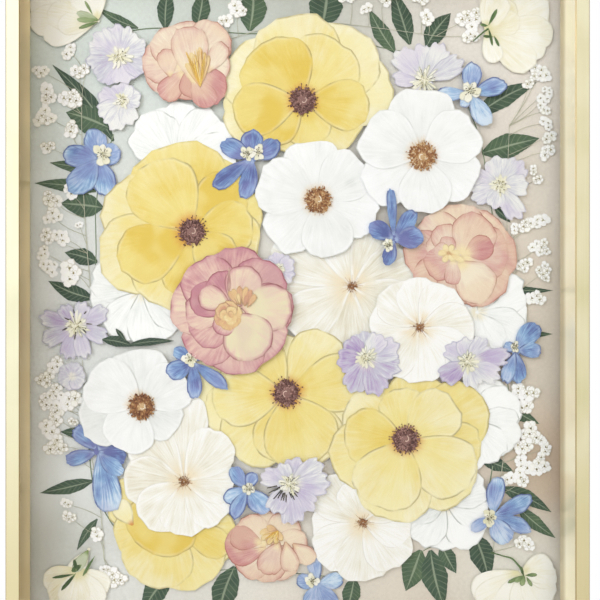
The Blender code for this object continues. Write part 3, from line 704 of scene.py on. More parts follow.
# %% Petal finish
def petal_finish(name, shades, heart, edge, heart_reach=0.3, edge_width=0.9, edge_depth=0.6, veins=0.5,
                 fade=0.35, blotches_and_shade=0.35, rim=0.35, rim_colour=None, tint=None, tint_share=0.4):
    """Matt petal skin, pale to deep, with a heart colour at its base and a dark edge, dry and painted shade.
    """
    material, tree, shader = new_finish(name, 0.78)
    shader.inputs["Specular IOR Level"].default_value = 0.25
    tone, inset, outward = [read(tree, "Attribute", "Fac", attribute_name=word)
                            for word in ("tone", "inset", "outward")]
    fan = read(tree, "UVMap", 0, uv_map="petal")
    vein = cloud(tree, 1.0, fan, detail=4.0, stretch=(34, 2.6, 1))
    vein_part = (vein - 0.5) * veins
    # Blotches: old bruises, and on the white kinds painted shade of their ruffles.
    depth = tone + (cloud(tree, 75) - 0.5) * blotches_and_shade + vein_part
    depth = depth + (cloud(tree, 1.0, fan, detail=2.0, stretch=(9, 1.2, 1)) - 0.5) * (0.5 * veins)
    colour = ramp(depth + (0.6 - outward) * fade, shades)
    if tint:
        colour = blend(rescale(cloud(tree, 42, detail=1.0), 0.42, 0.6, 0.0, tint_share), colour, tint)
    colour = blend(rescale(outward + vein_part * 0.35, heart_reach, 0.3 * heart_reach), colour, heart)
    rubbed = rescale(cloud(tree, 70, detail=2.0), 0.36, 0.62, 0.08, 1.0)
    colour = blend(rescale(inset, 3.2, 1.0, 0.0, rim) * rubbed, colour, rim_colour or shades[0])
    # The dark edge line: partly the dried edge, partly painted shade where a petal lies over what is behind
    # it.
    colour = blend(rescale(inset, edge_width, 0.15, 0.0, edge_depth) * rubbed, colour, edge)
    join(colour, shader.inputs["Base Color"])
    emboss(shader, vein * 0.6 + cloud(tree, 800) * 0.4, 0.35, 0.12)
    return material


print("a petal's finish reads its tone, and how far each point lies from its edge and its base")

# %% [markdown]
# ## Stacking a flower
#
# A real pressed flower is as good as flat, and the next one lies on it. Each flower here has a level of its
# own, so its petals share that level's height among them, from the back one forwards.

# %% Flowers
LEVEL_GAP = 0.3
STACK_BOTTOM = 0.04
STACK_TOP = 0.55
FEWEST_STEPS = 6


def back_of(name):
    """Where a flower's level starts: just behind the solid of its node."""
    return level_of(name) - LEVEL_GAP


def top_of(name):
    """Where what stands on a flower's petals starts."""
    return back_of(name) + STACK_TOP + 0.1


def lay_flower(name, middle, petals, form, seed):
    """All petals of a flower, laid on each other from the back of its level forwards."""
    dice = np.random.default_rng(seed)
    form = form_of(dice, **form)
    sheaf = new_sheaf()
    step = (STACK_TOP - STACK_BOTTOM) / max(len(petals), FEWEST_STEPS)
    for index, petal in enumerate(petals):
        lift = back_of(name) + STACK_BOTTOM + index * step
        lay_petal(sheaf, middle, petal, form, lift, dice, petals[:index])
    return sheaf


print("a flower's petals share", round(STACK_TOP - STACK_BOTTOM, 2), "mm of height")

# %% [markdown]
# ## Beads and threads
#
# In the heart of a poppy or an anemone stands a knob with a ring of stamens round it, all pressed into a
# dark ragged star. A stamen is a thin thread with a bead at its end, so these two are made first. A bead is
# a turned oval, squeezed flat, and a thread is a small tube along a smooth curve, thinner at its end.

# %% Beads and threads
THREAD_END = 0.6
THREAD_FLATNESS = 0.6


def lay_bead(sheaf, place, radii, turn, tone, sides=8, rings=5):
    """A small flattened bead: a turned oval with its long way at an angle."""
    angles = np.linspace(0, math.tau, sides, endpoint=False)
    slices = math.pi * np.arange(1, rings) / rings
    points = np.stack([np.outer(np.sin(slices), np.cos(angles)).ravel() * radii[0],
                       np.outer(np.sin(slices), np.sin(angles)).ravel() * radii[1],
                       np.repeat(np.cos(slices), sides) * radii[2]], axis=1)
    points = np.concatenate([points, [(0, 0, radii[2]), (0, 0, -radii[2])]])
    top, bottom, last = len(points) - 2, len(points) - 1, (rings - 2) * sides
    faces = []
    for side in range(sides):
        after = (side + 1) % sides
        faces += [(ring + side, ring + side + sides, ring + after + sides, ring + after)
                  for ring in range(0, last, sides)]
        faces += [(side, after, top), (last + after, last + side, bottom)]
    right, up = turned(place, points[:, 0], points[:, 1], turn)
    solid = np.stack([right, up, place[2] + points[:, 2]], axis=1)
    add_points(sheaf, solid, faces, points[:, :2], tone, radii[1], 0.5)


def smooth_path(points, steps):
    """A Catmull-Rom curve through some points, with a few steps between each two."""
    points = np.asarray(points, float)
    padded = np.concatenate([2 * points[:1] - points[1:2], points, 2 * points[-1:] - points[-2:-1]])
    path = []
    for index in range(len(points) - 1):
        p0, p1, p2, p3 = padded[index:index + 4]
        for t in np.linspace(0, 1, steps, endpoint=False):
            path.append(0.5 * (2 * p1 + (p2 - p0) * t + (2 * p0 - 5 * p1 + 4 * p2 - p3) * t ** 2
                               + (3 * p1 - p0 - 3 * p2 + p3) * t ** 3))
    return np.array(path + [points[-1]])


def lay_thread(sheaf, points, radius, tone, sides=5, steps=4):
    """A thin flattened thread through some places, thinner at its end."""
    path = smooth_path(points, steps)
    run = np.gradient(path, axis=0) * (1, 1, 0)
    run /= np.maximum(np.linalg.norm(run, axis=1, keepdims=True), 1e-9)
    side_way = np.stack([-run[:, 1], run[:, 0], np.zeros(len(path))], axis=1)
    width = radius * np.linspace(1, THREAD_END, len(path))[:, None]
    rings = [path + side_way * width * math.cos(a) + np.array([0, 0, THREAD_FLATNESS]) * width * math.sin(a)
             for a in math.tau * np.arange(sides) / sides]
    last = (len(path) - 1) * sides
    faces = [(ring + side, ring + (side + 1) % sides, ring + (side + 1) % sides + sides, ring + side + sides)
             for ring in range(0, last, sides) for side in range(sides)]
    faces += [tuple(range(sides - 1, -1, -1)), tuple(range(last, last + sides))]
    along = np.repeat(np.linspace(0, 3, len(path)), sides)
    place = np.stack([along, 0 * along], axis=1)
    add_points(sheaf, np.stack(rings, axis=1).reshape(-1, 3), faces, place, tone, radius, 0.5)


print("a curve through 3 places in steps of 4 has", len(smooth_path([(0, 0), (1, 1), (2, 0)], 4)), "points")

# %% [markdown]
# ## Stamens
#
# A poppy's stamens are far too many to place by hand, so a loop strews them in a ring with a fixed seed and
# joins them in one mesh. The button in the middle dried with a pale curl on it, which is one more thread.

# %% Stamens
STAMEN_RADIUS = 0.16
CURL_THREAD = 0.5
CURL_SPECKS = 14


def around(place, angle, away, *height):
    """A place at an angle and a distance from another one."""
    return place[0] + away * math.cos(angle), place[1] + away * math.sin(angle), *height


def lay_stamens(sheaf, middle, height, ring, count, bead, dice, tones):
    """A ring of threads with beads at their ends, between an inner and an outer radius."""
    for index in range(count):
        angle = math.tau * (index + dice.uniform(-0.5, 0.5)) / count
        radius = dice.uniform(*ring)
        end = around(middle, angle, radius, height + dice.uniform(0.05, 0.3))
        start = around(middle, angle, 0.25 * radius, height)
        lay_thread(sheaf, [start, end], STAMEN_RADIUS, dice.uniform(*tones), sides=4, steps=2)
        size = bead * dice.uniform(0.75, 1.25)
        lay_bead(sheaf, end, (size, 0.66 * size, 0.5 * size), angle + dice.uniform(-0.9, 0.9),
                 dice.uniform(*tones))


def lay_swirl(sheaf, middle, height, radius, dice):
    """A pale curl and specks on a flower's button, as its dried top shows."""
    turn = dice.uniform(0, math.tau)
    curl = [around(middle, turn + 5 * share, radius * share, height + 0.05)
            for share in np.linspace(0.25, 0.85, 6)]
    lay_thread(sheaf, curl, CURL_THREAD, 1.0, steps=3)
    for _ in range(CURL_SPECKS):
        angle, away = dice.uniform(0, math.tau), radius * dice.uniform(0.3, 1.05)
        lay_bead(sheaf, around(middle, angle, away, height), (0.45, 0.36, 0.2), angle,
                 dice.uniform(0.1, 1.0), sides=6, rings=4)


def stamen_finish(name, shades):
    """Dry stamens: one of several shades by each bead's tone, with a grainy skin."""
    material, tree, shader = new_finish(name)
    grain = cloud(tree, 1600)
    tone = read(tree, "Attribute", "Fac", attribute_name="tone")
    join(ramp(tone + (grain - 0.5) * 0.5, shades), shader.inputs["Base Color"])
    emboss(shader, grain, 0.5, 0.15)
    return material


print("a dried curl has", CURL_SPECKS, "specks round it")

# %% [markdown]
# ## Yellow poppies
#
# Five Iceland poppies carry the picture. Their petals are broad and overlap in two rounds, and each looks
# deeper where others lie under it. Petals strewn by chance would never fall as these did, so each is listed
# as its direction, length, width and tone, from the back to the front. A petal that doesn't start
# in the middle also has the place where it starts. The low poppy's heart is hidden and needs no stamens.

# %% Yellow poppies
YELLOW_POPPIES = {
    "top": ((6, 146), [(195, 60, 46, 0.3), (-120, 40, 46, 0.45), (-38, 48, 44, 0.5), (10, 67, 52, 0.1),
        (150, 62, 60, 0.16), (45, 66, 60, 0.16), (95, 64, 64, 0.3), (-80, 34, 36, 0.55),
        (55, 52, 54, 0.36), (-5, 49, 38, 0.62), (-138, 40, 34, 0.78), (128, 52, 56, 0.74),
        (190, 52, 40, 0.84)]),
    "left": ((-75, 50), [(65, 58, 44, 0.69), (32, 54, 56, 0.67), (105, 67, 72, 0.69), (160, 68, 56, 0.37),
        (200, 71, 60, 0.35), (285, 57, 52, 0.47), (245, 60, 60, 0.43), (-15, 50, 52, 0.53),
        (262, 47, 38, 0.77), (205, 58, 44, 0.83), (50, 50, 40, 0.95), (5, 45, 42, 0.61),
        (-45, 38, 34, 0.67), (125, 60, 54, 0.55)]),
    "middle": ((-6, -68), [(92, 42, 44, 0.18), (140, 47, 48, 0.24), (45, 54, 48, 0.28),
        (165, 70, 56, 0.16), (200, 62, 48, 0.22), (232, 60, 54, 0.34), (-8, 62, 50, 0.26),
        (-62, 58, 52, 0.34), (-95, 50, 44, 0.4), (130, 44, 38, 0.3), (185, 54, 46, 0.25),
        (10, 58, 44, 0.36), (-72, 55, 56, 0.42)]),
    "right": ((81, -102), [(145, 50, 46, 0.3), (75, 50, 48, 0.54), (25, 64, 52, 0.58), (-12, 56, 40, 0.51),
        (200, 57, 50, 0.46), (-45, 62, 50, 0.3), (258, 61, 56, 0.26), (95, 38, 36, 0.36),
        (175, 45, 42, 0.51), (40, 46, 40, 0.16), (-35, 57, 48, 0.12), (247, 54, 52, 0.22)]),
    "low": ((-90, -161), [(60, 28, 40, 0.49), (110, 28, 40, 0.49), (158, 50, 40, 0.51),
        (-28, 50, 44, 0.57), (200, 44, 42, 0.51), (292, 54, 56, 0.47), (250, 52, 54, 0.39),
        (-30, 48, 24, 0.64), (243, 39, 54, 0.94, -90, -150), (126, 22, 15, -0.11, -118, -166)]),
}
POPPY_FORM = {"grid": (12, 36), "wave": 0.05, "height": 0.035, "folds": 9, "depth": 0.28}
POPPY_DISC, POPPY_KNOB = (8.6, 8.3, 0.3), (4.4, 4.0, 0.45)
POPPY_STAMENS, POPPY_FRINGE = (3.5, 10.2), (9.5, 12.5)
CURL_RADIUS = 3.6

yellow_skin = petal_finish(
    "yellow_petal_skin", ["#f6f0cd", "#f2e8b6", "#eede96", "#ead479", "#e4c75e"], "#d99344", "#94803c",
    edge_width=1.7, edge_depth=0.62, blotches_and_shade=0.6, tint="#f2e7a0")
poppy_stamen_skin = stamen_finish("poppy_stamens", ["#53342e", "#744c45", "#8f6a63", "#ad857a", "#dcc0b0"])

for number, (key, (middle, petals)) in enumerate(YELLOW_POPPIES.items()):
    name = "yellow_poppy_" + key
    sheaf = lay_flower(name, middle, petals, POPPY_FORM, 100 + number)
    finish_piece(sheaf, name + "_petals", yellow_skin, name)
    if key == "low":
        continue
    dice = np.random.default_rng(200 + number)
    stamens = new_sheaf()
    height = top_of(name)
    lay_bead(stamens, (*middle, height), POPPY_DISC, 0.4, 0.15, sides=32, rings=8)
    lay_stamens(stamens, middle, height + 0.1, POPPY_STAMENS, 200, 0.9, dice, (0.0, 0.75))
    lay_stamens(stamens, middle, height, POPPY_FRINGE, 26, 0.6, dice, (0.0, 0.4))
    lay_bead(stamens, (*middle, height + 0.2), POPPY_KNOB, 0.4, 0.5, sides=20, rings=8)
    lay_swirl(stamens, middle, height + 0.45, CURL_RADIUS, dice)
    finish_piece(stamens, name + "_stamens", poppy_stamen_skin, name)
print("yellow poppies:", len(YELLOW_POPPIES))

# %% [markdown]
# ## Flowers from a table
#
# The petals of the other flowers hardly differ in tone. So their tables give a flower's middle and its own
# tone, and a petal's direction, length and width are enough: a loop varies the tone a little. A small plug
# closes the place where all petals start. What follows the petals in a row belongs to the flower's heart.

# %% A loop over a table
USUAL_PLUG = 3.4


def grow(kind, table, form, skin, spread, seed):
    """Lay every flower of a table, and yield its name, middle, height and dice, and the rest of its row."""
    for number, (key, (middle, tone, petals, *more)) in enumerate(table.items()):
        name = kind + key
        dice = np.random.default_rng(seed + number)
        petals = [(*petal, tone + dice.uniform(-spread, spread)) if len(petal) == 3 else petal
                  for petal in petals]
        sheaf = lay_flower(name, middle, petals, form, seed + 50 + number)
        plug = form.get("plug", USUAL_PLUG)
        lay_bead(sheaf, (*middle, back_of(name) + STACK_BOTTOM + 0.1), (plug, plug, 0.1), 0, tone, sides=16)
        finish_piece(sheaf, name + "_petals", skin, name)
        yield name, middle, top_of(name), dice, *more


def lay_round(sheaf, middle, petals, form, lift, step, dice):
    """Lay small petals on each other, each a step further forward than the one before."""
    form = form_of(dice, **form)
    for index, petal in enumerate(petals):
        lay_petal(sheaf, middle, petal, form, lift + step * index, dice)


print("a plug is", USUAL_PLUG, "mm in radius where a form doesn't say more")

# %% [markdown]
# ## White anemones
#
# Three anemones have six broad petals each, nearly white, with faint grey lines and a shallow notch at the
# tip. Their heart is a small pale button in a ring of gold-brown stamens. Each row ends with the radius of
# that ring and how much paler or darker it is.

# %% White anemones
WHITE_ANEMONES = {
    "right": ((93, 105), 0.35, [(92, 51, 50), (-28, 45, 40), (215, 49, 38), (32, 46, 42), (-85, 42, 40),
        (155, 48, 45)], 11.2, 0.15),
    "middle": ((17, 73), 0.45, [(100, 45, 44), (-15, 46, 39), (-135, 46, 40), (42, 44, 40), (-75, 43, 39),
        (162, 47, 43)], 10.4, 0.05),
    "left": ((-112, -78), 0.55, [(98, 43, 48), (-30, 32, 32), (195, 47, 42), (35, 40, 38), (240, 36, 40),
        (148, 46, 42)], 10.6, -0.1),
}
ANEMONE_FORM = {"grid": (10, 30), "wave": 0.06, "notch": 0.04, "height": 0.03, "folds": 6, "depth": -0.15}
ANEMONE_KNOB = (3.4, 3.1, 0.45)

# The grey blotches on these white petals are painted shade of their ruffles, and the grey edge line is partly
# painted shade.
anemone_skin = petal_finish(
    "anemone_petal_skin", ["#fafbfb", "#f4f5f4", "#ebedea", "#d9dcd8"], "#e2c9a2", "#c2c6be",
    heart_reach=0.33, edge_width=1.1, edge_depth=0.5, veins=0.8, rim=0.6, blotches_and_shade=0.8)
gold_stamen_skin = stamen_finish("gold_stamens", ["#6e4029", "#93603c", "#b0814f", "#d3b182", "#f3ead6"])

for name, middle, height, dice, size, shade in grow(
        "white_anemone_", WHITE_ANEMONES, ANEMONE_FORM, anemone_skin, 0.15, 300):
    stamens = new_sheaf()
    lay_bead(stamens, (*middle, height), (0.8 * size, 0.78 * size, 0.3), 0.4, 0.3 + shade, sides=32, rings=8)
    tones = (shade, 0.75 + shade)
    lay_stamens(stamens, middle, height + 0.1, (0.3 * size, 0.92 * size), 210, 0.9, dice, tones)
    lay_stamens(stamens, middle, height, (0.85 * size, 1.08 * size), 30, 0.5, dice, (0.4, 0.9))
    lay_bead(stamens, (*middle, height + 0.2), ANEMONE_KNOB, 0.4, 0.7, sides=18, rings=7)
    lay_swirl(stamens, middle, height + 0.5, CURL_RADIUS, dice)
    finish_piece(stamens, name + "_stamens", gold_stamen_skin, name)
print("white anemones:", len(WHITE_ANEMONES))

# %% [markdown]
# ## Cream blooms
#
# The cream blooms are soft, with eight or nine thin petals each, and a small brown star of short stamens in
# the middle. Their petals grow paler where they lie on others, because the board no longer shows through.

# %% Cream blooms
CREAM_BLOOMS = {
    "low_left": ((-81, -133), 0.52, [(93, 66, 42), (132, 52, 36), (178, 44, 38), (228, 42, 38),
        (275, 40, 38), (320, 40, 36), (2, 37, 34), (48, 46, 36)]),
    "middle": ((42, 10), 0.52, [(174, 57, 40), (149, 65, 42), (100, 42, 34), (58, 50, 36), (22, 47, 38),
        (-24, 46, 36), (-64, 44, 34), (-105, 46, 36), (-146, 56, 38)]),
    "right": ((91, -20), 0.25, [(175, 36, 34), (130, 38, 36), (88, 36, 36), (45, 38, 36), (0, 40, 38),
        (-42, 40, 36), (-90, 41, 38), (-135, 44, 38)]),
    "bottom": ((50, -163), 0.3, [(180, 37, 36), (138, 43, 36), (225, 43, 38), (270, 44, 40), (315, 42, 38),
        (0, 36, 36), (45, 36, 34), (95, 32, 36)]),
}
CREAM_FORM = {"grid": (10, 28), "wave": 0.07, "height": 0.03, "folds": 8, "depth": -0.2}

cream_skin = petal_finish(
    "cream_petal_skin", ["#fafaf7", "#f4f3ea", "#ece8d8", "#ded7c0"], "#f0e3c6", "#c2bba4",
    heart_reach=0.4, edge_width=0.8, edge_depth=0.4, veins=1.5, blotches_and_shade=0.7, rim=0.8)
for name, middle, height, dice in grow(
        "cream_bloom_", CREAM_BLOOMS, CREAM_FORM, cream_skin, 0.2, 400):
    star = new_sheaf()
    lay_stamens(star, middle, height, (1.2, 4.2), 44, 0.5, dice, (0.0, 0.6))
    lay_stamens(star, middle, height, (4.5, 8.5), 18, 0.25, dice, (0.5, 0.9))
    finish_piece(star, name + "_star", gold_stamen_skin, name)
print("cream blooms:", len(CREAM_BLOOMS))

# %% [markdown]
# ## White blooms
#
# Behind other flowers lie plain white ones, of which only the outer petals show, ruffled and thin. Their
# middles are covered, so the loop has nothing to add to them.

# %% White blooms
WHITE_BLOOMS = {
    "top": ((-86, 102), 0.3, [(90, 44, 50), (134, 42, 42), (40, 47, 46), (5, 42, 40), (-60, 30, 40),
        (240, 30, 40)]),
    "left": ((-113, 7), 0.35, [(200, 38, 38), (155, 38, 38), (245, 40, 38), (290, 42, 40), (-25, 42, 38),
        (40, 30, 40)]),
    "right": ((134, -9), 0.25, [(0, 37, 38), (38, 40, 38), (-38, 38, 38), (-78, 33, 36), (85, 33, 36),
        (180, 28, 44)]),
    "side": ((128, -88), 0.2, [(62, 37, 36), (22, 39, 36), (-18, 39, 36), (-60, 37, 36), (180, 26, 44)]),
    "low": ((111, -150), 0.25, [(-90, 34, 38), (-45, 37, 36), (-2, 32, 34), (-135, 36, 36), (40, 33, 34),
        (160, 30, 40)]),
}
RUFFLED_FORM = {"grid": (10, 34), "wave": 0.1, "lobes": 4, "lobe": 0.04, "height": 0.035, "folds": 11}

# The grey blotches on these white petals are painted shade of their ruffles, and the grey edge line is partly
# painted shade.
white_skin = petal_finish(
    "white_petal_skin", ["#fdfefd", "#f7f9f7", "#ebeeeb", "#d3d8d3"], "#efe8cf", "#9ea49b",
    heart_reach=0.26, edge_width=1.4, edge_depth=0.75, veins=1.3, rim=0.6, blotches_and_shade=0.8)
blooms = grow("white_bloom_under_", WHITE_BLOOMS, RUFFLED_FORM, white_skin, 0.2, 500)
print("white blooms:", len(list(blooms)))

# %% [markdown]
# ## Roses
#
# A pressed rose shows round petals in several rounds, with darker rims. The outer round comes first in a
# row, and the inner petals start off the middle, where the picture shows them. After them come the small
# golden petals of the heart. Some hearts also show a tuft of threads: its place, direction, spread, length
# and count. One rose is pink, and three are nearer to peach, so they have a table and a skin of their own.

# %% Roses
PINK_ROSES = {
    "left": ((-44, -7), 0.5, [(90, 46, 46, 0.65), (45, 44, 44, 0.8), (0, 43, 42, 0.4), (-45, 45, 46, 0.45),
        (-90, 48, 46, 0.55), (-130, 46, 42, 0.5), (175, 47, 44, 0.4), (135, 45, 44, 0.55),
        (215, 37, 33, 0.6), (182, 36, 28, 0.25), (160, 34, 28, 1.0), (118, 30, 28, 0.75),
        (72, 33, 29, 0.2, -44, -7), (160, 25, 20, 0.2, -46, -4), (-4, 38, 37, 0.0, -40, -4),
        (-60, 38, 40, -0.05, -45, -9), (235, 20, 17, 0.35, -45, -8), (-90, 19, 2.4, -0.4, -48, 25)], [
        (205, 11.5, 15, 0.75, -48, -11), (260, 11.5, 15, 0.6, -48, -11), (320, 10, 13, 0.5, -48, -11),
        (25, 10, 13, 0.45, -48, -11), (85, 11, 14, 0.65, -48, -11), (145, 11, 15, 0.75, -48, -11),
        (180, 7.5, 10, 0.45, -48, -11), (300, 7.5, 10, 0.3, -48, -11), (60, 7.5, 10, 0.35, -48, -11),
        (240, 5, 7, 0.2, -48, -11), (20, 4, 6, 0.5, -48, -11), (118, 12, 5, 0.7, -42, -4),
        (106, 13, 5, 0.5, -41, -4), (94, 14, 5, 0.75, -39.5, -4), (82, 14, 5, 0.55, -38, -4),
        (70, 13, 5, 0.8, -36.5, -5), (58, 12, 5, 0.65, -35, -6), (100, 9, 4, 0.4, -40, -4),
        (76, 9, 4, 0.9, -37, -5)]),
}
PEACH_ROSES = {
    "top": ((-78, 173), 0.35, [(95, 31, 36, 0.1), (45, 37, 36, 0.2), (2, 31, 30, 0.0), (-48, 36, 30, 0.85),
        (-100, 27, 34, 0.6), (-150, 33, 30, 0.2), (178, 34, 32, 0.25), (138, 32, 30, 0.15),
        (-128, 27, 19, 0.65, -80, 168), (-96, 25, 17, 1.05, -75, 173), (-62, 27, 19, 0.7, -75, 165),
        (98, 22, 16, 0.3, -91, 162), (62, 26, 15, 0.05, -64, 165), (94, 43, 29, 0.2, -74, 157)], [
        (118, 22, 5, 0.4, -69, 155), (108, 27, 6, 0.4, -69, 155), (76, 25, 5, 0.4, -69, 155),
        (84, 27, 6, 0.4, -69, 155), (100, 24, 7, 0.4, -69, 155), (92, 30, 6, 0.4, -69, 155),
        (96, 21, 4, 0.4, -69, 155)], ((-69, 156), 97, 18, 28, 22)),
    "right": ((122, 33), 0.3, [(0, 41, 42, 0.57), (50, 38, 40, 0.23), (95, 38, 40, 0.13),
        (140, 38, 38, 0.22), (180, 42, 38, 0.57), (222, 40, 36, 0.52), (265, 36, 34, 0.32),
        (310, 42, 42, 0.47), (150, 27, 26, 0.22), (205, 28, 26, 0.52), (100, 25, 22, 0.32, 113, 31),
        (14, 35, 44, 0.52, 122, 31), (58, 34, 36, 0.38, 121, 32), (20, 22, 20, 0.82, 124, 34),
        (-52, 35, 33, 0.02, 120, 29), (-92, 20, 13, 0.37, 116, 31), (75, 17, 13, 0.42, 109, 30),
        (150, 12, 12, 0.32, 113, 33)], [(0, 8, 5.5, 0.0, 112.6, 34.4), (60, 7, 5.5, -0.2, 112.6, 34.4),
        (120, 7, 5.5, 0.0, 112.6, 34.4), (180, 8, 5.5, 0.1, 112.6, 34.4), (240, 8, 5.5, 0.1, 112.6, 34.4),
        (300, 7, 5.5, -0.1, 112.6, 34.4), (330, 13, 5.5, 0.1, 112.6, 34.4)]),
    "bottom": ((-20, -181), 0.3, [(90, 26, 28, 0.15), (45, 29, 28, 0.05), (0, 30, 28, 0.1),
        (-45, 28, 28, 0.15), (-90, 26, 28, 0.35), (-135, 28, 28, 0.3), (180, 31, 30, 0.8),
        (135, 28, 28, 0.15), (168, 25, 19, 0.9, -23, -178), (-112, 27, 20, 0.35, -11, -176),
        (-42, 21, 15, 0.1, -2, -178), (-78, 24, 15, 0.0, -7, -176)], [(190, 13, 6, 0.35, -13, -168),
        (215, 14, 6, 0.3, -13, -168), (240, 13, 6, 0.45, -13, -168), (265, 11, 6, 0.3, -13, -168),
        (290, 9, 6, 0.4, -13, -168), (170, 8, 6, 0.5, -13, -168)], ((-12, -169), 228, 40, 12, 12)),
}
ROSE_FORM = {"grid": (10, 30), "wave": 0.06, "roundness": 2.3, "height": 0.025, "folds": 6, "depth": 0.1}
GOLD_PETAL_FORM = {"grid": (7, 10), "wave": 0.12, "roundness": 2.0, "height": 0.01, "folds": 3}
TUFT_THREAD = 0.26
TUFT_BEND = 1.2

rose_gold_skin = petal_finish(
    "rose_gold_skin", ["#f1e2b2", "#ead09a", "#e1bc8a", "#d5a384", "#c58c7c"], "#d9b184", "#9c6a4e",
    edge_depth=0.65, veins=0.8)
rose_stamen_skin = stamen_finish("rose_stamens", ["#b5793f", "#d9a94f", "#ecc860", "#f3da7c", "#f8eaa8"])
pink_skin = petal_finish(
    "pink_petal_skin", ["#e8dfbb", "#ead5bd", "#e3c1b4", "#d6a8a5", "#c38a94"], "#eddbb8", "#94575a",
    heart_reach=0.34, edge_width=1.3, edge_depth=0.85, veins=0.9, blotches_and_shade=1.0, fade=-0.5, rim=0.7,
    rim_colour="#c98b99", tint="#dcbfb6")
peach_skin = petal_finish(
    "peach_petal_skin", ["#f1e6cf", "#ead7c3", "#e1c3b4", "#d7a8a0", "#c98d8c"], "#f2e2b4", "#a0624f",
    heart_reach=0.34, edge_width=1.1, edge_depth=0.75, veins=0.7, blotches_and_shade=0.7, fade=-0.4, rim=0.5,
    rim_colour="#d0958e", tint="#ecd6b4")


def lay_tuft(sheaf, height, dice, place, way, spread, length, count):
    """A tuft of bent threads that start from one place."""
    for _ in range(count):
        angle = math.radians(way + dice.uniform(-spread, spread))
        away = length * dice.uniform(0.6, 1.0)
        right, up = around(place, angle, 0.5 * away)
        right += dice.uniform(-TUFT_BEND, TUFT_BEND)
        path = [(*place, height + 0.3), (right, up, height + 0.4), around(place, angle, away, height + 0.4)]
        lay_thread(sheaf, path, TUFT_THREAD, dice.uniform(0.1, 1.0), sides=4)


for table, skin, seed in ((PINK_ROSES, pink_skin, 600), (PEACH_ROSES, peach_skin, 640)):
    for name, middle, height, dice, gold_petals, *tufts in grow(
            "pink_rose_", table, ROSE_FORM, skin, 0.2, seed):
        gold = new_sheaf()
        lay_round(gold, middle, gold_petals, GOLD_PETAL_FORM, height, 0.035, dice)
        finish_piece(gold, name + "_gold", rose_gold_skin, name)
        for tuft in tufts:
            heart = new_sheaf()
            lay_tuft(heart, height, dice, *tuft)
            finish_piece(heart, name + "_stamens", rose_stamen_skin, name)
print("roses:", len(PINK_ROSES) + len(PEACH_ROSES))

# %% [markdown]
# ## Blue larkspur
#
# Each larkspur floret has five pointed petals, blue with darker outlines, round a whitish eye that carries
# small dark marks. The florets differ most in tone: some are nearly sky blue, others violet. A row ends with
# the place and radius of each eye.

# %% Blue larkspur
BLUE_LARKSPUR = {
    "upper_left": ((-144, 104), 0.42, [(18, 17, 20), (100, 22, 21), (172, 26, 21), (286, 28, 22),
        (236, 32, 25)], [(-140, 107, 8.5)]),
    "middle": ((-31, 104), 0.75, [(92, 21, 20), (153, 25, 18), (24, 23, 18), (216, 36, 16), (263, 30, 17)],
        [(-35, 107, 6), (-27, 108, 6)]),
    "right": ((72, 44), 0.9, [(93, 38, 9), (52, 26, 15), (8, 22, 20), (145, 21, 17), (255, 19, 13)], [
        (68, 40, 5)]),
    "upper_right": ((129, 151), 0.2, [(88, 23, 18), (17, 27, 17), (183, 26, 13), (-65, 26, 18),
        (230, 12, 10)], [(128, 153, 8.5)]),
    "middle_left": ((-75, -45), 0.6, [(140, 16, 13), (212, 21, 18), (278, 27, 14), (-37, 32, 13),
        (50, 13, 12)], [(-76, -43, 7)]),
    "bottom_left": ((-34, -138), 0.45, [(132, 20, 14), (205, 20, 15), (238, 24, 14), (-55, 22, 20),
        (75, 13, 12)], [(-33.6, -137.4, 6)]),
    "low_left": ((-144, -111), 0.95, [(130, 25, 17), (198, 25, 14), (-12, 21, 20), (-76, 46, 26, 0.3),
        (-50, 24, 15, 0.5), (60, 16, 16)], []),
    "side_right": ((162, -37), 0.52, [(55, 25, 19), (2, 19, 14), (-85, 24, 15), (250, 25, 13),
        (150, 10, 10)], [(161, -34, 4.5)]),
    "low_right": ((145, -158), 0.35, [(85, 29, 17), (22, 32, 16), (-18, 30, 14), (-65, 23, 20),
        (215, 19, 11)], [(142.5, -159.5, 6.5)]),
    "bottom": ((17, -208), 0.35, [(100, 20, 13), (172, 16, 14), (8, 19, 15), (250, 22, 17), (300, 22, 17)],
        [(13, -206, 5.5)]),
}
LARKSPUR_FORM = {"grid": (9, 24), "wave": 0.09, "roundness": 1.8, "height": 0.03, "folds": 5, "lean": 0.12}
EYE_FORM = {"grid": (5, 12), "wave": 0.14, "roundness": 2.2, "height": 0.01, "folds": 3}
EYE_SCALES = 7

blue_skin = petal_finish(
    "blue_petal_skin", ["#d2e2f0", "#a9c6e4", "#87a9d2", "#748cbd", "#5f6a9f"], "#a9bcdc", "#3f4c8c",
    heart_reach=0.22, edge_width=1.6, edge_depth=0.85, veins=1.3, blotches_and_shade=1.7, tint="#9796c8",
    tint_share=0.35)
eye_skin = petal_finish("larkspur_eye_skin", ["#f6f4e8", "#efecd4", "#dedbb4"], "#c4c291", "#98a08c",
                        edge_width=0.6)
mark_skin = stamen_finish("dark_marks", ["#3a3b3a", "#665f4e", "#8f8a68", "#d8d3ac", "#fbf9ec"])


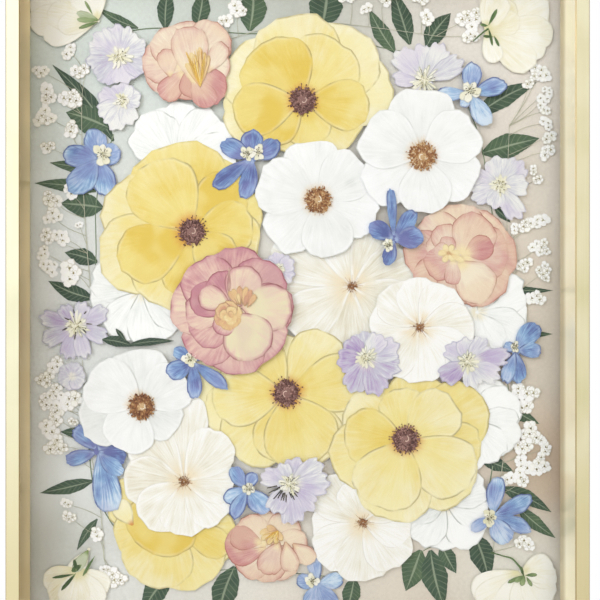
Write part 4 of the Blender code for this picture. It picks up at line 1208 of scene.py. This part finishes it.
def lay_eye(eye, marks, place, radius, height, dice):
    """A whitish eye of ragged scales with dark and pale marks strewn over it."""
    form = form_of(dice, **EYE_FORM)
    first = dice.uniform(0, 360)
    for part in range(EYE_SCALES):
        length = radius * dice.uniform(0.6, 1.1)
        way = first + 360 * part / EYE_SCALES + dice.uniform(-18, 18)
        scale = (way, length, 0.75 * length, dice.uniform(0, 0.9))
        lay_petal(eye, place, scale, form, height - 0.05 + 0.03 * part, dice)
    lay_bead(eye, (*place, height), (0.3 * radius, 0.3 * radius, 0.1), 0, 0.6)
    lay_stamens(marks, place, height + 0.2, (0.15 * radius, 0.6 * radius), 12, 0.45, dice, (0.0, 0.45))
    lay_stamens(marks, place, height + 0.2, (0.2 * radius, 0.7 * radius), 10, 0.5, dice, (0.7, 1.0))


for name, middle, height, dice, eyes in grow(
        "blue_larkspur_", BLUE_LARKSPUR, LARKSPUR_FORM, blue_skin, 0.12, 700):
    if eyes:
        eye, marks = new_sheaf(), new_sheaf()
        for *place, radius in eyes:
            lay_eye(eye, marks, place, radius, height, dice)
        finish_piece(eye, name + "_eye", eye_skin, name)
        finish_piece(marks, name + "_marks", mark_skin, name)
print("larkspur florets:", len(BLUE_LARKSPUR))

# %% [markdown]
# ## Lilac scabious
#
# A scabious head is a ring of pale lilac florets with ruffled lobes, round a cream cushion with a few dark
# bits. Its petals carry stronger folds than the others. A row ends with the cushion's radius, and some heads
# also have dark whiskers: their place, first and last direction, both distances and their count. The head
# at the left has a small second one on its stem.

# %% Lilac scabious
LILAC_SCABIOUS = {
    "top_left": ((-128, 178), 0.3, [(92, 25, 22), (140, 26, 22), (185, 25, 20), (232, 24, 20),
        (282, 21, 20), (330, 22, 18), (35, 22, 20)], 10),
    "upper_left": ((-126, 146), 0.15, [(165, 19, 16), (210, 21, 17), (250, 23, 18), (290, 19, 16),
        (20, 14, 18), (90, 14, 18)], 7),
    "top_right": ((95, 161), 0.15, [(168, 23, 17), (133, 31, 18), (97, 28, 19), (60, 31, 18), (26, 33, 18),
        (270, 10, 20)], 12),
    "right": ((150, 84), 0.2, [(96, 22, 20), (42, 25, 20), (2, 22, 18), (160, 22, 16), (205, 23, 17),
        (-60, 29, 18), (-105, 18, 16)], 8),
    "left": ((-160, -19), 0.45, [(165, 28, 14), (205, 28, 15), (252, 26, 14), (285, 25, 14), (338, 25, 14),
        (26, 26, 15), (70, 19, 13), (125, 19, 13)], 11, ((-159, -17), 0, 360, 9, 12.5, 7)),
    "floret": ((-12, 23), 0.3, [(100, 12, 14), (172, 14, 14), (240, 14, 14), (310, 14, 15), (25, 13, 14)],
        5),
    "middle": ((52, -42), 0.5, [(95, 20, 18, 0.45), (145, 20, 19, 0.9), (192, 22, 20, 0.85),
        (245, 28, 20, 0.6), (290, 30, 20, 0.75), (335, 27, 19, 0.55), (18, 26, 20, 0.25),
        (55, 21, 17, 0.15)], 9),
    "low_right": ((126, -45), 0.25, [(145, 20, 16, 0.45), (98, 18, 16), (50, 22, 16), (8, 32, 15, 0.65),
        (-28, 27, 16), (-75, 20, 15, 0.1), (215, 24, 18, 0.7)], 9),
    "bottom": ((-4, -134), 0.32, [(70, 20, 18, 0.5), (30, 29, 20), (-2, 30, 19), (-48, 26, 18),
        (-85, 31, 19, 0.35), (-122, 25, 18), (160, 22, 16), (115, 17, 15)], 9, ((-6, -134),
        190, 330, 9, 15, 12)),
}
SMALL_HEAD = (-163, -56)
SMALL_HEAD_PETALS = [(0, 10, 12, 0.4), (70, 11, 12, 0.4), (140, 11, 13, 0.5), (200, 11, 12, 0.4),
    (250, 11, 13, 0.2), (305, 11, 13, 0.3)]
SCABIOUS_FORM = {"grid": (8, 34), "wave": 0.09, "roundness": 2.3, "lobes": 4, "lobe": 0.1, "height": 0.035,
                 "folds": 13}
SMALL_HEAD_FORM = SCABIOUS_FORM | {"grid": (8, 20), "height": 0.03, "folds": 5}
CUSHION_SCALES = 16
WHISKER_RADIUS = 0.55

lilac_skin = petal_finish(
    "lilac_petal_skin", ["#eeeeea", "#dbdbe0", "#c8c7d5", "#bfb0cd", "#a790bf"], "#ece9dc", "#8d89b0",
    heart_reach=0.4, edge_width=1.1, edge_depth=0.5, veins=1.3, blotches_and_shade=1.0, tint="#cdc0de")


def lay_cushion(cushion, marks, middle, size, height, dice):
    """A cream cushion of narrow scales, with pale and dark marks on it."""
    form = form_of(dice, **EYE_FORM)
    for part in range(CUSHION_SCALES):
        way = 360 * part / CUSHION_SCALES + dice.uniform(-9, 9)
        scale = (way, size * dice.uniform(0.6, 1.1), dice.uniform(1.6, 3.0), dice.uniform(0, 0.8))
        lay_petal(cushion, middle, scale, form, height - 0.05 + 0.02 * part, dice)
    lay_bead(cushion, (*middle, height + 0.05), (0.3 * size, 0.3 * size, 0.25), 0, 0.3, sides=12)
    lay_stamens(marks, middle, height + 0.2, (0.1 * size, 0.5 * size), 24, 0.6, dice, (0.6, 1.0))
    lay_stamens(marks, middle, height + 0.2, (0.2 * size, 0.7 * size), 7, 0.45, dice, (0.0, 0.3))


def lay_whiskers(marks, height, dice, place, first, last, near, far, count):
    """Dark bristles that point outwards from a place."""
    for angle in np.radians(np.linspace(first, last, count, endpoint=False) + dice.uniform(-6, 6, count)):
        ends = [around(place, angle, away, height + 0.1)
                for away in (near * dice.uniform(0.6, 1), far * dice.uniform(0.7, 1))]
        lay_thread(marks, ends, WHISKER_RADIUS, dice.uniform(0.0, 0.2), steps=3)


for name, middle, height, dice, size, *whiskers in grow(
        "lilac_scabious_", LILAC_SCABIOUS, SCABIOUS_FORM, lilac_skin, 0.12, 800):
    cushion, marks = new_sheaf(), new_sheaf()
    lay_cushion(cushion, marks, middle, size, height, dice)
    for bristles in whiskers:
        lay_whiskers(marks, height, dice, *bristles)
    finish_piece(cushion, name + "_cushion", eye_skin, name)
    finish_piece(marks, name + "_marks", mark_skin, name)

small_head = new_sheaf()
small_head_lift = level_of("lilac_scabious_left") - 0.2
lay_round(small_head, SMALL_HEAD, SMALL_HEAD_PETALS, SMALL_HEAD_FORM, small_head_lift, 0.04,
          np.random.default_rng(850))
finish_piece(small_head, "lilac_scabious_left_small_head", lilac_skin, "lilac_scabious_left")
print("scabious heads:", len(LILAC_SCABIOUS))

# %% [markdown]
# ## Leaves
#
# The leaves are pressed flat and dark, with a paler midrib and side veins. A leaf is drawn from its base to
# its tip as a blade with fine teeth, on a grid along and across, and its finish draws the veins from those
# two numbers. A sprig's row has its stem's path, then each leaf as its base, its tip and its width.

# %% Leaf blades
LEAF_BLADE = ((0.0, 0.12), (0.22, 0.8), (0.5, 1.0), (0.8, 0.5), (1.0, 0.0))
LEAF_GRID = (25, 9)
LEAF_THICKNESS = 0.06
LEAF_KEEL = 0.04
LEAF_FULLNESS = 1.2
LEAF_BEND = 0.05
TOOTH_SHARE = 0.07
TEETH = 11


def lay_leaf(sheaf, ends, width, lift, tone, dice):
    """One leaf blade between its base and its tip, with small teeth and a slight bend."""
    rows, columns = LEAF_GRID
    along = np.linspace(0, 1, rows)
    across = np.linspace(-1, 1, columns)
    shares, halves = zip(*LEAF_BLADE)
    half = np.interp(along, shares, halves)
    half = np.convolve(np.pad(half, 1, "edge"), (0.25, 0.5, 0.25), "valid")
    half[0], half[-1] = halves[0], 0.02
    half *= LEAF_FULLNESS * (1 - TOOTH_SHARE * (along * TEETH % 1))
    start, end = np.reshape(ends, (2, 2)).astype(float)
    length = np.linalg.norm(end - start)
    run = (end - start) / length
    side = np.array([-run[1], run[0]])
    bend = dice.uniform(-LEAF_BEND, LEAF_BEND) * length * np.sin(math.pi * along)
    spine = start + np.outer(along * length, run) + np.outer(bend, side)
    blade = spine[:, None] + (half * width / 2)[:, None, None] * across[None, :, None] * side
    flat = blade.reshape(-1, 2)
    inset = edge_distance(flat, np.concatenate([blade[:, 0], blade[::-1, -1]]))
    keel = lift + LEAF_KEEL * (1 - np.abs(np.tile(across, rows)))
    points = [np.column_stack([flat, keel + rise]) for rise in (LEAF_THICKNESS, 0)]
    place = np.column_stack([np.tile(across, rows), np.repeat(along, columns)])
    add_points(sheaf, np.concatenate(points), shell_faces(rows, columns), np.concatenate([place] * 2), tone,
               np.tile(inset, 2), np.tile(place[:, 1], 2))


def leaf_finish():
    """Dark pressed leaf with a paler midrib, slanting side veins and a grey bloom."""
    material, tree, shader = new_finish("pressed_leaf_skin")
    tone = read(tree, "Attribute", "Fac", attribute_name="tone")
    across, along, _ = parts_of(read(tree, "UVMap", 0, uv_map="petal"))
    across = across.calculate("ABSOLUTE")
    ribs = (along - across * 0.14).calculate("PINGPONG", 0.05)
    midrib = rescale(across, 0.13, 0.03) * 0.55
    veins = (rescale(ribs, 0.011, 0.002) * 0.25).calculate("MAXIMUM", midrib)
    colour = ramp(tone + (cloud(tree, 110) - 0.5) * 0.7, ["#2f4536", "#415a46", "#546d4e", "#7a8e6d"])
    join(blend(veins, colour, "#b4c0a4"), shader.inputs["Base Color"])
    emboss(shader, veins + cloud(tree, 900, detail=2.0) * 0.5, 0.4, 0.12)
    return material


leaf_skin = leaf_finish()
print("a leaf has", math.prod(LEAF_GRID), "points on each side")

# %% [markdown]
# ## Leaf sprigs
#
# Each sprig's leaves and stem are one grown thing, so they are one piece. The leaves are strewn a little in
# tone and height, so that two that touch don't lie in one plane. A leaf of the scabious is laid with them.

# %% Leaf sprigs
LEAF_SPRIGS = {
    "left": ([(-133, 122), (-140, 100), (-146, 70), (-146, 34), (-148, 2)], [(-133, 117, -178, 173, 11),
        (-137, 127, -168, 138, 19), (-141, 95, -180, 101, 9), (-146, 80, -191, 86, 9),
        (-141, 68, -172, 71, 16), (-145, 28, -169, 35, 11), (-148, 1, -181, 14, 11)]),
    "top": ([(-123, 198), (-95, 200), (-34, 196), (22, 196), (72, 184), (98, 184)], [
        (-115, 200, -145, 215, 7), (-95, 199, -92, 232, 11), (-72, 200, -67, 230, 12),
        (-33, 198, -31, 234, 18), (20, 200, 24, 236, 22), (74, 182, 55, 214, 11), (85, 188, 72, 229, 13),
        (97, 186, 115, 211, 14)]),
    "right": ([(128, 142), (138, 112), (146, 60), (153, 8), (154, -28), (158, -72)], [
        (134, 136, 178, 160, 13), (138, 108, 180, 119, 16), (147, 68, 159, 57, 5), (153, 8, 190, 7, 5),
        (154, -26, 190, -25, 6), (158, -78, 180, -91, 8)]),
    "lower_right": ([(146, -122), (140, -150), (128, -170), (104, -180), (92, -186)], [
        (137, -117, 161, -126, 9), (152, -138, 189, -156, 10), (164, -152, 192, -175, 9),
        (132, -172, 143, -206, 16), (108, -180, 119, -201, 11), (100, -184, 110, -226, 17),
        (93, -184, 82, -214, 17)]),
    "bottom": ([(-152, -100), (-146, -142), (-122, -180), (-88, -202), (-40, -198), (42, -205)], [
        (-148, -133, -187, -142, 9), (-145, -161, -160, -184, 6), (-153, -100, -172, -97, 7),
        (-92, -202, -112, -230, 15), (-44, -196, -56, -236, 17), (44, -204, 38, -230, 12)]),
}
STEM_LEAF = [(-141, -29, -118, -34, 7), (-131, -21, -123, -31, 3), (-122, -33, -88, -30, 5)]
STEM_RADIUS = 0.4

for number, (key, (stem, leaves)) in enumerate(LEAF_SPRIGS.items()):
    name = "leaf_sprig_" + key
    dice = np.random.default_rng(900 + number)
    sheaf = new_sheaf()
    stem_level = level_of(name)
    lay_thread(sheaf, [(*point, stem_level) for point in stem], STEM_RADIUS, 1.5, sides=6, steps=8)
    for index, (*ends, width) in enumerate(leaves):
        lay_leaf(sheaf, ends, width, stem_level - 0.08 + 0.03 * (index % 3), dice.uniform(0.2, 0.6), dice)
    finish_piece(sheaf, name + "_leaves", leaf_skin, name)
stem_leaf = new_sheaf()
for index, (*ends, width) in enumerate(STEM_LEAF):
    lay_leaf(stem_leaf, ends, width, level_of("lilac_scabious_left") + 0.05 * index, 0.0, dice)
finish_piece(stem_leaf, "lilac_scabious_left_leaf", leaf_skin, "lilac_scabious_left")
print("leaf sprigs:", len(LEAF_SPRIGS))

# %% [markdown]
# ## Rosebuds
#
# In each corner a small bud was pressed half open: thin cream petals in a fan, held by narrow green sepals.
# The sepals follow the petals in a row, with the place where each starts, and then the stem if it shows.

# %% Rosebuds
ROSEBUDS = {
    "top_left": ((-144, 205), 0.4, [(146, 50, 30, -0.1), (162, 52, 30, 0.1), (178, 51, 26, 0.2),
        (196, 42, 22, 0.0), (170, 38, 24, 0.3), (188, 30, 18, 0.3), (120, 30, 24, 0.1),
        (100, 26, 18, 0.0)], [(160, 18, 8, 0.1, -143, 205), (178, 16, 6, 0.3, -144, 205),
        (198, 15, 4, 0.5, -144, 204), (118, 12, 3, 0.4, -148, 209)]),
    "top_right": ((140, 197), 0.4, [(46, 48, 28, 0.6), (22, 50, 30, 0.22), (0, 50, 28, 0.3),
        (-18, 46, 24, 0.22), (-38, 44, 26, 0.35), (44, 30, 22, 0.8), (20, 27, 20, 0.6), (70, 30, 24, 0.3),
        (-70, 24, 16, 0.1)], [(62, 14, 4, 0.7, 142, 201), (285, 14, 3, 0.8, 142, 200),
        (-62, 9, 3, 0.7, 146, 194), (178, 8, 3, 0.9, 146, 193), (170, 6, 3, 0.7, 142, 201)], [(142, 199),
        (138, 196), (131, 190)]),
    "bottom_left": ((-151, -183), 0.5, [(238, 24, 14, 0.3), (322, 26, 18, 0.2, -157, -197),
        (208, 28, 22, 0.5, -159, -197), (236, 31, 26, 0.6, -159, -198), (292, 31, 26, 0.1, -158, -198),
        (262, 30, 26, 0.3, -159, -198)], [(238, 20, 12, -0.1, -151, -183), (215, 9, 6, 0.9, -156, -194),
        (100, 9, 4, 1.0, -160, -199), (190, 17, 3, 0.9, -161, -201), (230, 17, 4, 1.0, -160, -200),
        (238, 18, 3, 0.7, -146, -187)]),
    "bottom_right": ((166, -199), 0.3, [(206, 39, 24, 0.05), (220, 40, 24, 0.15), (252, 34, 26, -0.15),
        (276, 32, 24, -0.05), (312, 32, 28, 0.0), (345, 27, 20, 0.05), (5, 24, 24, 0.1)], [
        (262, 9, 6, 0.4, 168, -201), (5, 9, 4, 0.5, 169, -202), (208, 12, 4, 0.6, 167, -202),
        (105, 8, 3, 0.9, 168, -203), (300, 8, 4, 0.4, 170, -203), (215, 8, 5, 0.5, 168, -202)], [
        (167, -198), (160, -190), (154, -188), (144, -185)]),
}
BUD_FORM = {"grid": (9, 22), "wave": 0.05, "roundness": 2.2, "height": 0.02, "folds": 6, "plug": 1.2}
SEPAL_FORM = {"grid": (10, 10), "wave": 0.04, "roundness": 1.6, "height": 0.02, "folds": 3}
BUD_STEM_RADIUS = 0.7

bud_skin = petal_finish(
    "bud_petal_skin", ["#fcfbf2", "#f7f4e2", "#f1ebce", "#e8deb2"], "#e6dfb0", "#cfc8a6",
    heart_reach=0.35, edge_width=1.2, edge_depth=0.35, veins=1.2, blotches_and_shade=0.9)
sepal_skin = petal_finish("sepal_skin", ["#c6ceb2", "#9bae7c", "#647f50", "#465c3c"], "#8a9f66", "#5c6f48",
                          veins=0.7, edge_width=0.5, rim=0.0)
for name, middle, height, dice, sepals, *stems in grow(
        "rosebud_", ROSEBUDS, BUD_FORM, bud_skin, 0.1, 1000):
    sheaf = new_sheaf()
    lay_round(sheaf, middle, sepals, SEPAL_FORM, height, 0.04, dice)
    for stem in stems:
        lay_thread(sheaf, [(*point, height + 0.1) for point in stem], BUD_STEM_RADIUS, 0.7, sides=6)
    finish_piece(sheaf, name + "_sepals", sepal_skin, name)
print("rosebuds:", len(ROSEBUDS))

# %% [markdown]
# ## Gypsophila florets
#
# Thin branching stems carry clusters of tiny five-petalled florets with brownish-green centres. There are
# more than two hundred, too many to place by hand. So a cluster is only given as its place, its radius, how
# many florets it has and how deep their tone is, and a loop strews them in it along a spiral, as the seeds
# of a sunflower grow, which spreads any number evenly.

# %% Florets
CLUSTER_FULLNESS = 1.35
SPIRAL_STEP = 2.4
OUTER_PETALS, ALL_PETALS = 5, 8
FLORET_SPECKS = 3
FLORET_FORM = FORM_DEFAULTS | {"grid": (3, 8), "wave": 0.1, "roundness": 2.4,
                               "relief": lambda right, up: 0 * right}

floret_skin = petal_finish("floret_skin", ["#ffffff", "#fffffb", "#fcfbf0", "#f5f3df"], "#c3bb90", "#b5ac86",
                           heart_reach=0.38, edge_width=0.5, edge_depth=0.55, veins=0.6, rim=0.0)
stem_skin = stamen_finish("spray_stems", ["#6b613f", "#978f66", "#babba3", "#cdcebc"])


def lay_floret(florets, bits, place, radius, lift, shade, dice):
    """One small flower of five petals and three inner ones, with a bead and a few specks in its middle."""
    first = dice.uniform(0, 360)
    for petal in range(ALL_PETALS):
        outer = petal < OUTER_PETALS
        way = first + (72 if outer else 120) * petal + dice.uniform(-12, 12)
        size = radius * dice.uniform(0.8, 1.15) * (1.0 if outer else 0.5)
        tone = 0.3 * shade + dice.uniform(-0.2, 0.4)
        lay_petal(florets, place, (way, size, 0.95 * size, tone), FLORET_FORM, lift + 0.032 * petal, dice)
    lay_bead(bits, (*place, lift + 0.3), (0.15 * radius, 0.12 * radius, 0.08), first, dice.uniform(0, 0.5))
    for _ in range(FLORET_SPECKS):
        angle = dice.uniform(0, math.tau)
        lay_bead(bits, around(place, angle, 0.3 * radius, lift + 0.3), (0.26, 0.2, 0.08), angle,
                 dice.uniform(0, 0.6), sides=6, rings=4)


def strew(many, dice):
    """Places and sizes of a cluster's florets, along a spiral in a circle of radius 1."""
    turn = dice.uniform(0, math.tau)
    size = CLUSTER_FULLNESS / math.sqrt(many)
    spots = []
    for index in range(many):
        angle = turn + SPIRAL_STEP * index + dice.uniform(-0.2, 0.2)
        away = (1.1 - 0.6 * size) * math.sqrt((index + 0.3) / (many - 0.4))
        spots.append((*around((0, 0), angle, away), size * dice.uniform(0.75, 1.15)))
    return spots


print("a floret has", ALL_PETALS, "petals")

# %% [markdown]
# ## Gypsophila sprays
#
# Every spray has one main stem. A thin branch leaves it a little below each cluster, and each floret has a
# stalk of its own. The florets lie at five heights by turns, so that two that overlap never share a plane.

# %% Gypsophila sprays
GYPSOPHILA = {
    "left": ([(-150, 8), (-154, 60), (-156, 110), (-156, 150), (-152, 176)], [(-157, 168, 7, 3, 0.0),
        (-165, 183, 6, 3, 0.4), (-186, 168, 6, 3, 0.8), (-181, 151, 7, 4, 0.4), (-165, 149, 8, 4, 0.0),
        (-184, 135, 8, 5, 0.8), (-165, 125, 6, 2, 0.1), (-181, 112, 5, 3, 0.5), (-165, 79, 6, 2, 0.2),
        (-178, 74, 7, 4, 0.7), (-178, 61, 7, 4, 0.7), (-158, 55, 3, 2, 0.4), (-182, 46, 6, 3, 0.3),
        (-172, 47, 6, 3, 0.3), (-184, 35, 5, 3, 0.7), (-180, 25, 7, 5, 0.4), (-164, 20, 8, 3, 0.0)]),
    "lower_left": ([(-140, -190), (-143, -150), (-150, -110), (-154, -70), (-156, -44)], [
        (-175, -48, 6, 3, 0.1), (-182, -58, 7, 4, 0.5), (-176, -68, 7, 5, 0.5), (-184, -75, 6, 3, 0.2),
        (-176, -78, 6, 3, 0.5), (-165, -74, 7, 3, 0.3), (-176, -86, 6, 3, 0.6), (-162, -90, 4, 2, 0.2),
        (-181, -96, 7, 3, 0.3), (-175, -107, 8, 5, 0.5), (-161, -113, 3, 1, 0.0), (-167, -150, 4, 2, 0.3),
        (-165, -160, 5, 3, 0.2), (-146, -173, 5, 2, 0.1), (-140, -199, 5, 3, 0.2),
        (-131, -205, 7, 3, 0.0)]),
    "right": ([(146, -185), (152, -128), (160, -60), (158, 10), (156, 70), (158, 128)], [
        (180, 166, 8, 5, 0.1), (173, 159, 4, 2, 0.2), (186, 154, 5, 3, 0.5), (182, 146, 6, 4, 0.2),
        (185, 139, 4, 2, 0.3), (185, 130, 6, 3, 0.0), (186, 120, 5, 3, 0.6), (185, 109, 6, 3, 0.0),
        (176, 96, 4, 2, 0.3), (178, 89, 4, 2, 0.2), (170, 56, 6, 3, 0.2), (179, 58, 6, 3, 0.1),
        (162, 53, 4, 2, 0.4), (180, 39, 8, 6, 0.1), (169, 25, 6, 4, 0.2), (183, 20, 7, 5, 0.1),
        (177, 2, 6, 3, 0.1), (165, -66, 5, 2, 0.1), (174, -69, 7, 2, 0.0), (170, -79, 6, 2, 0.0),
        (172, -97, 7, 3, 0.2), (179, -101, 6, 2, 0.0), (168, -108, 7, 3, 0.2), (185, -109, 5, 2, 0.3),
        (181, -120, 8, 4, 0.2), (168, -122, 8, 4, 0.1), (167, -133, 6, 2, 0.0), (157, -131, 5, 2, 0.1),
        (168, -178, 7, 3, 0.1)]),
    "top": ([(-60, 176), (-46, 192), (8, 204), (60, 200), (104, 194)], [(-41, 213, 7, 3, 0.0),
        (-51, 205, 5, 2, 0.1), (40, 224, 7, 4, 0.3), (52, 214, 5, 2, 0.2), (66, 222, 6, 3, 0.3),
        (94, 224, 7, 4, 0.2), (97, 207, 5, 2, 0.1), (130, 206, 9, 6, 0.1), (129, 194, 6, 3, 0.1)]),
}
BRANCH_DROP = 14
SPRAY_STEM, BRANCH, STALK = 0.3, 0.22, 0.18
HEIGHTS, HEIGHT_STEP = 5, 0.0064

count = 0
for number, (key, (stem, clusters)) in enumerate(GYPSOPHILA.items()):
    name = "gypsophila_" + key
    dice = np.random.default_rng(1100 + number)
    florets, bits = new_sheaf(), new_sheaf()
    low = back_of(name)
    path = smooth_path([(*point, low + 0.2) for point in stem], 8)
    lay_thread(bits, path[::4], SPRAY_STEM, 0.8)
    for *place, radius, many, shade in clusters:
        root = path[np.argmin(np.hypot(path[:, 0] - place[0], path[:, 1] - place[1] + BRANCH_DROP))]
        middle = (root[:2] + place) / 2 + dice.uniform(-2, 2, 2)
        lay_thread(bits, [root, (*middle, low + 0.25), (*place, low + 0.2)], BRANCH, 0.65, sides=4, steps=5)
        for right, up, size in strew(many, dice):
            spot = (place[0] + radius * right, place[1] + radius * up)
            lay_thread(bits, [(*place, low + 0.2), (*spot, low + 0.24)], STALK, 0.5, sides=4, steps=2)
            lift = low + 0.3 + HEIGHT_STEP * (count % HEIGHTS)
            lay_floret(florets, bits, spot, radius * size, lift, shade, dice)
            count += 1
    finish_piece(florets, name + "_florets", floret_skin, name)
    finish_piece(bits, name + "_stems", stem_skin, name)
print("gypsophila florets:", count)

# %% Size and finish
dressed_box = [list(corner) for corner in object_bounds()]
print("packed", [[round(v, 4) for v in c] for c in packed_box])
print("dressed", [[round(v, 4) for v in c] for c in dressed_box])
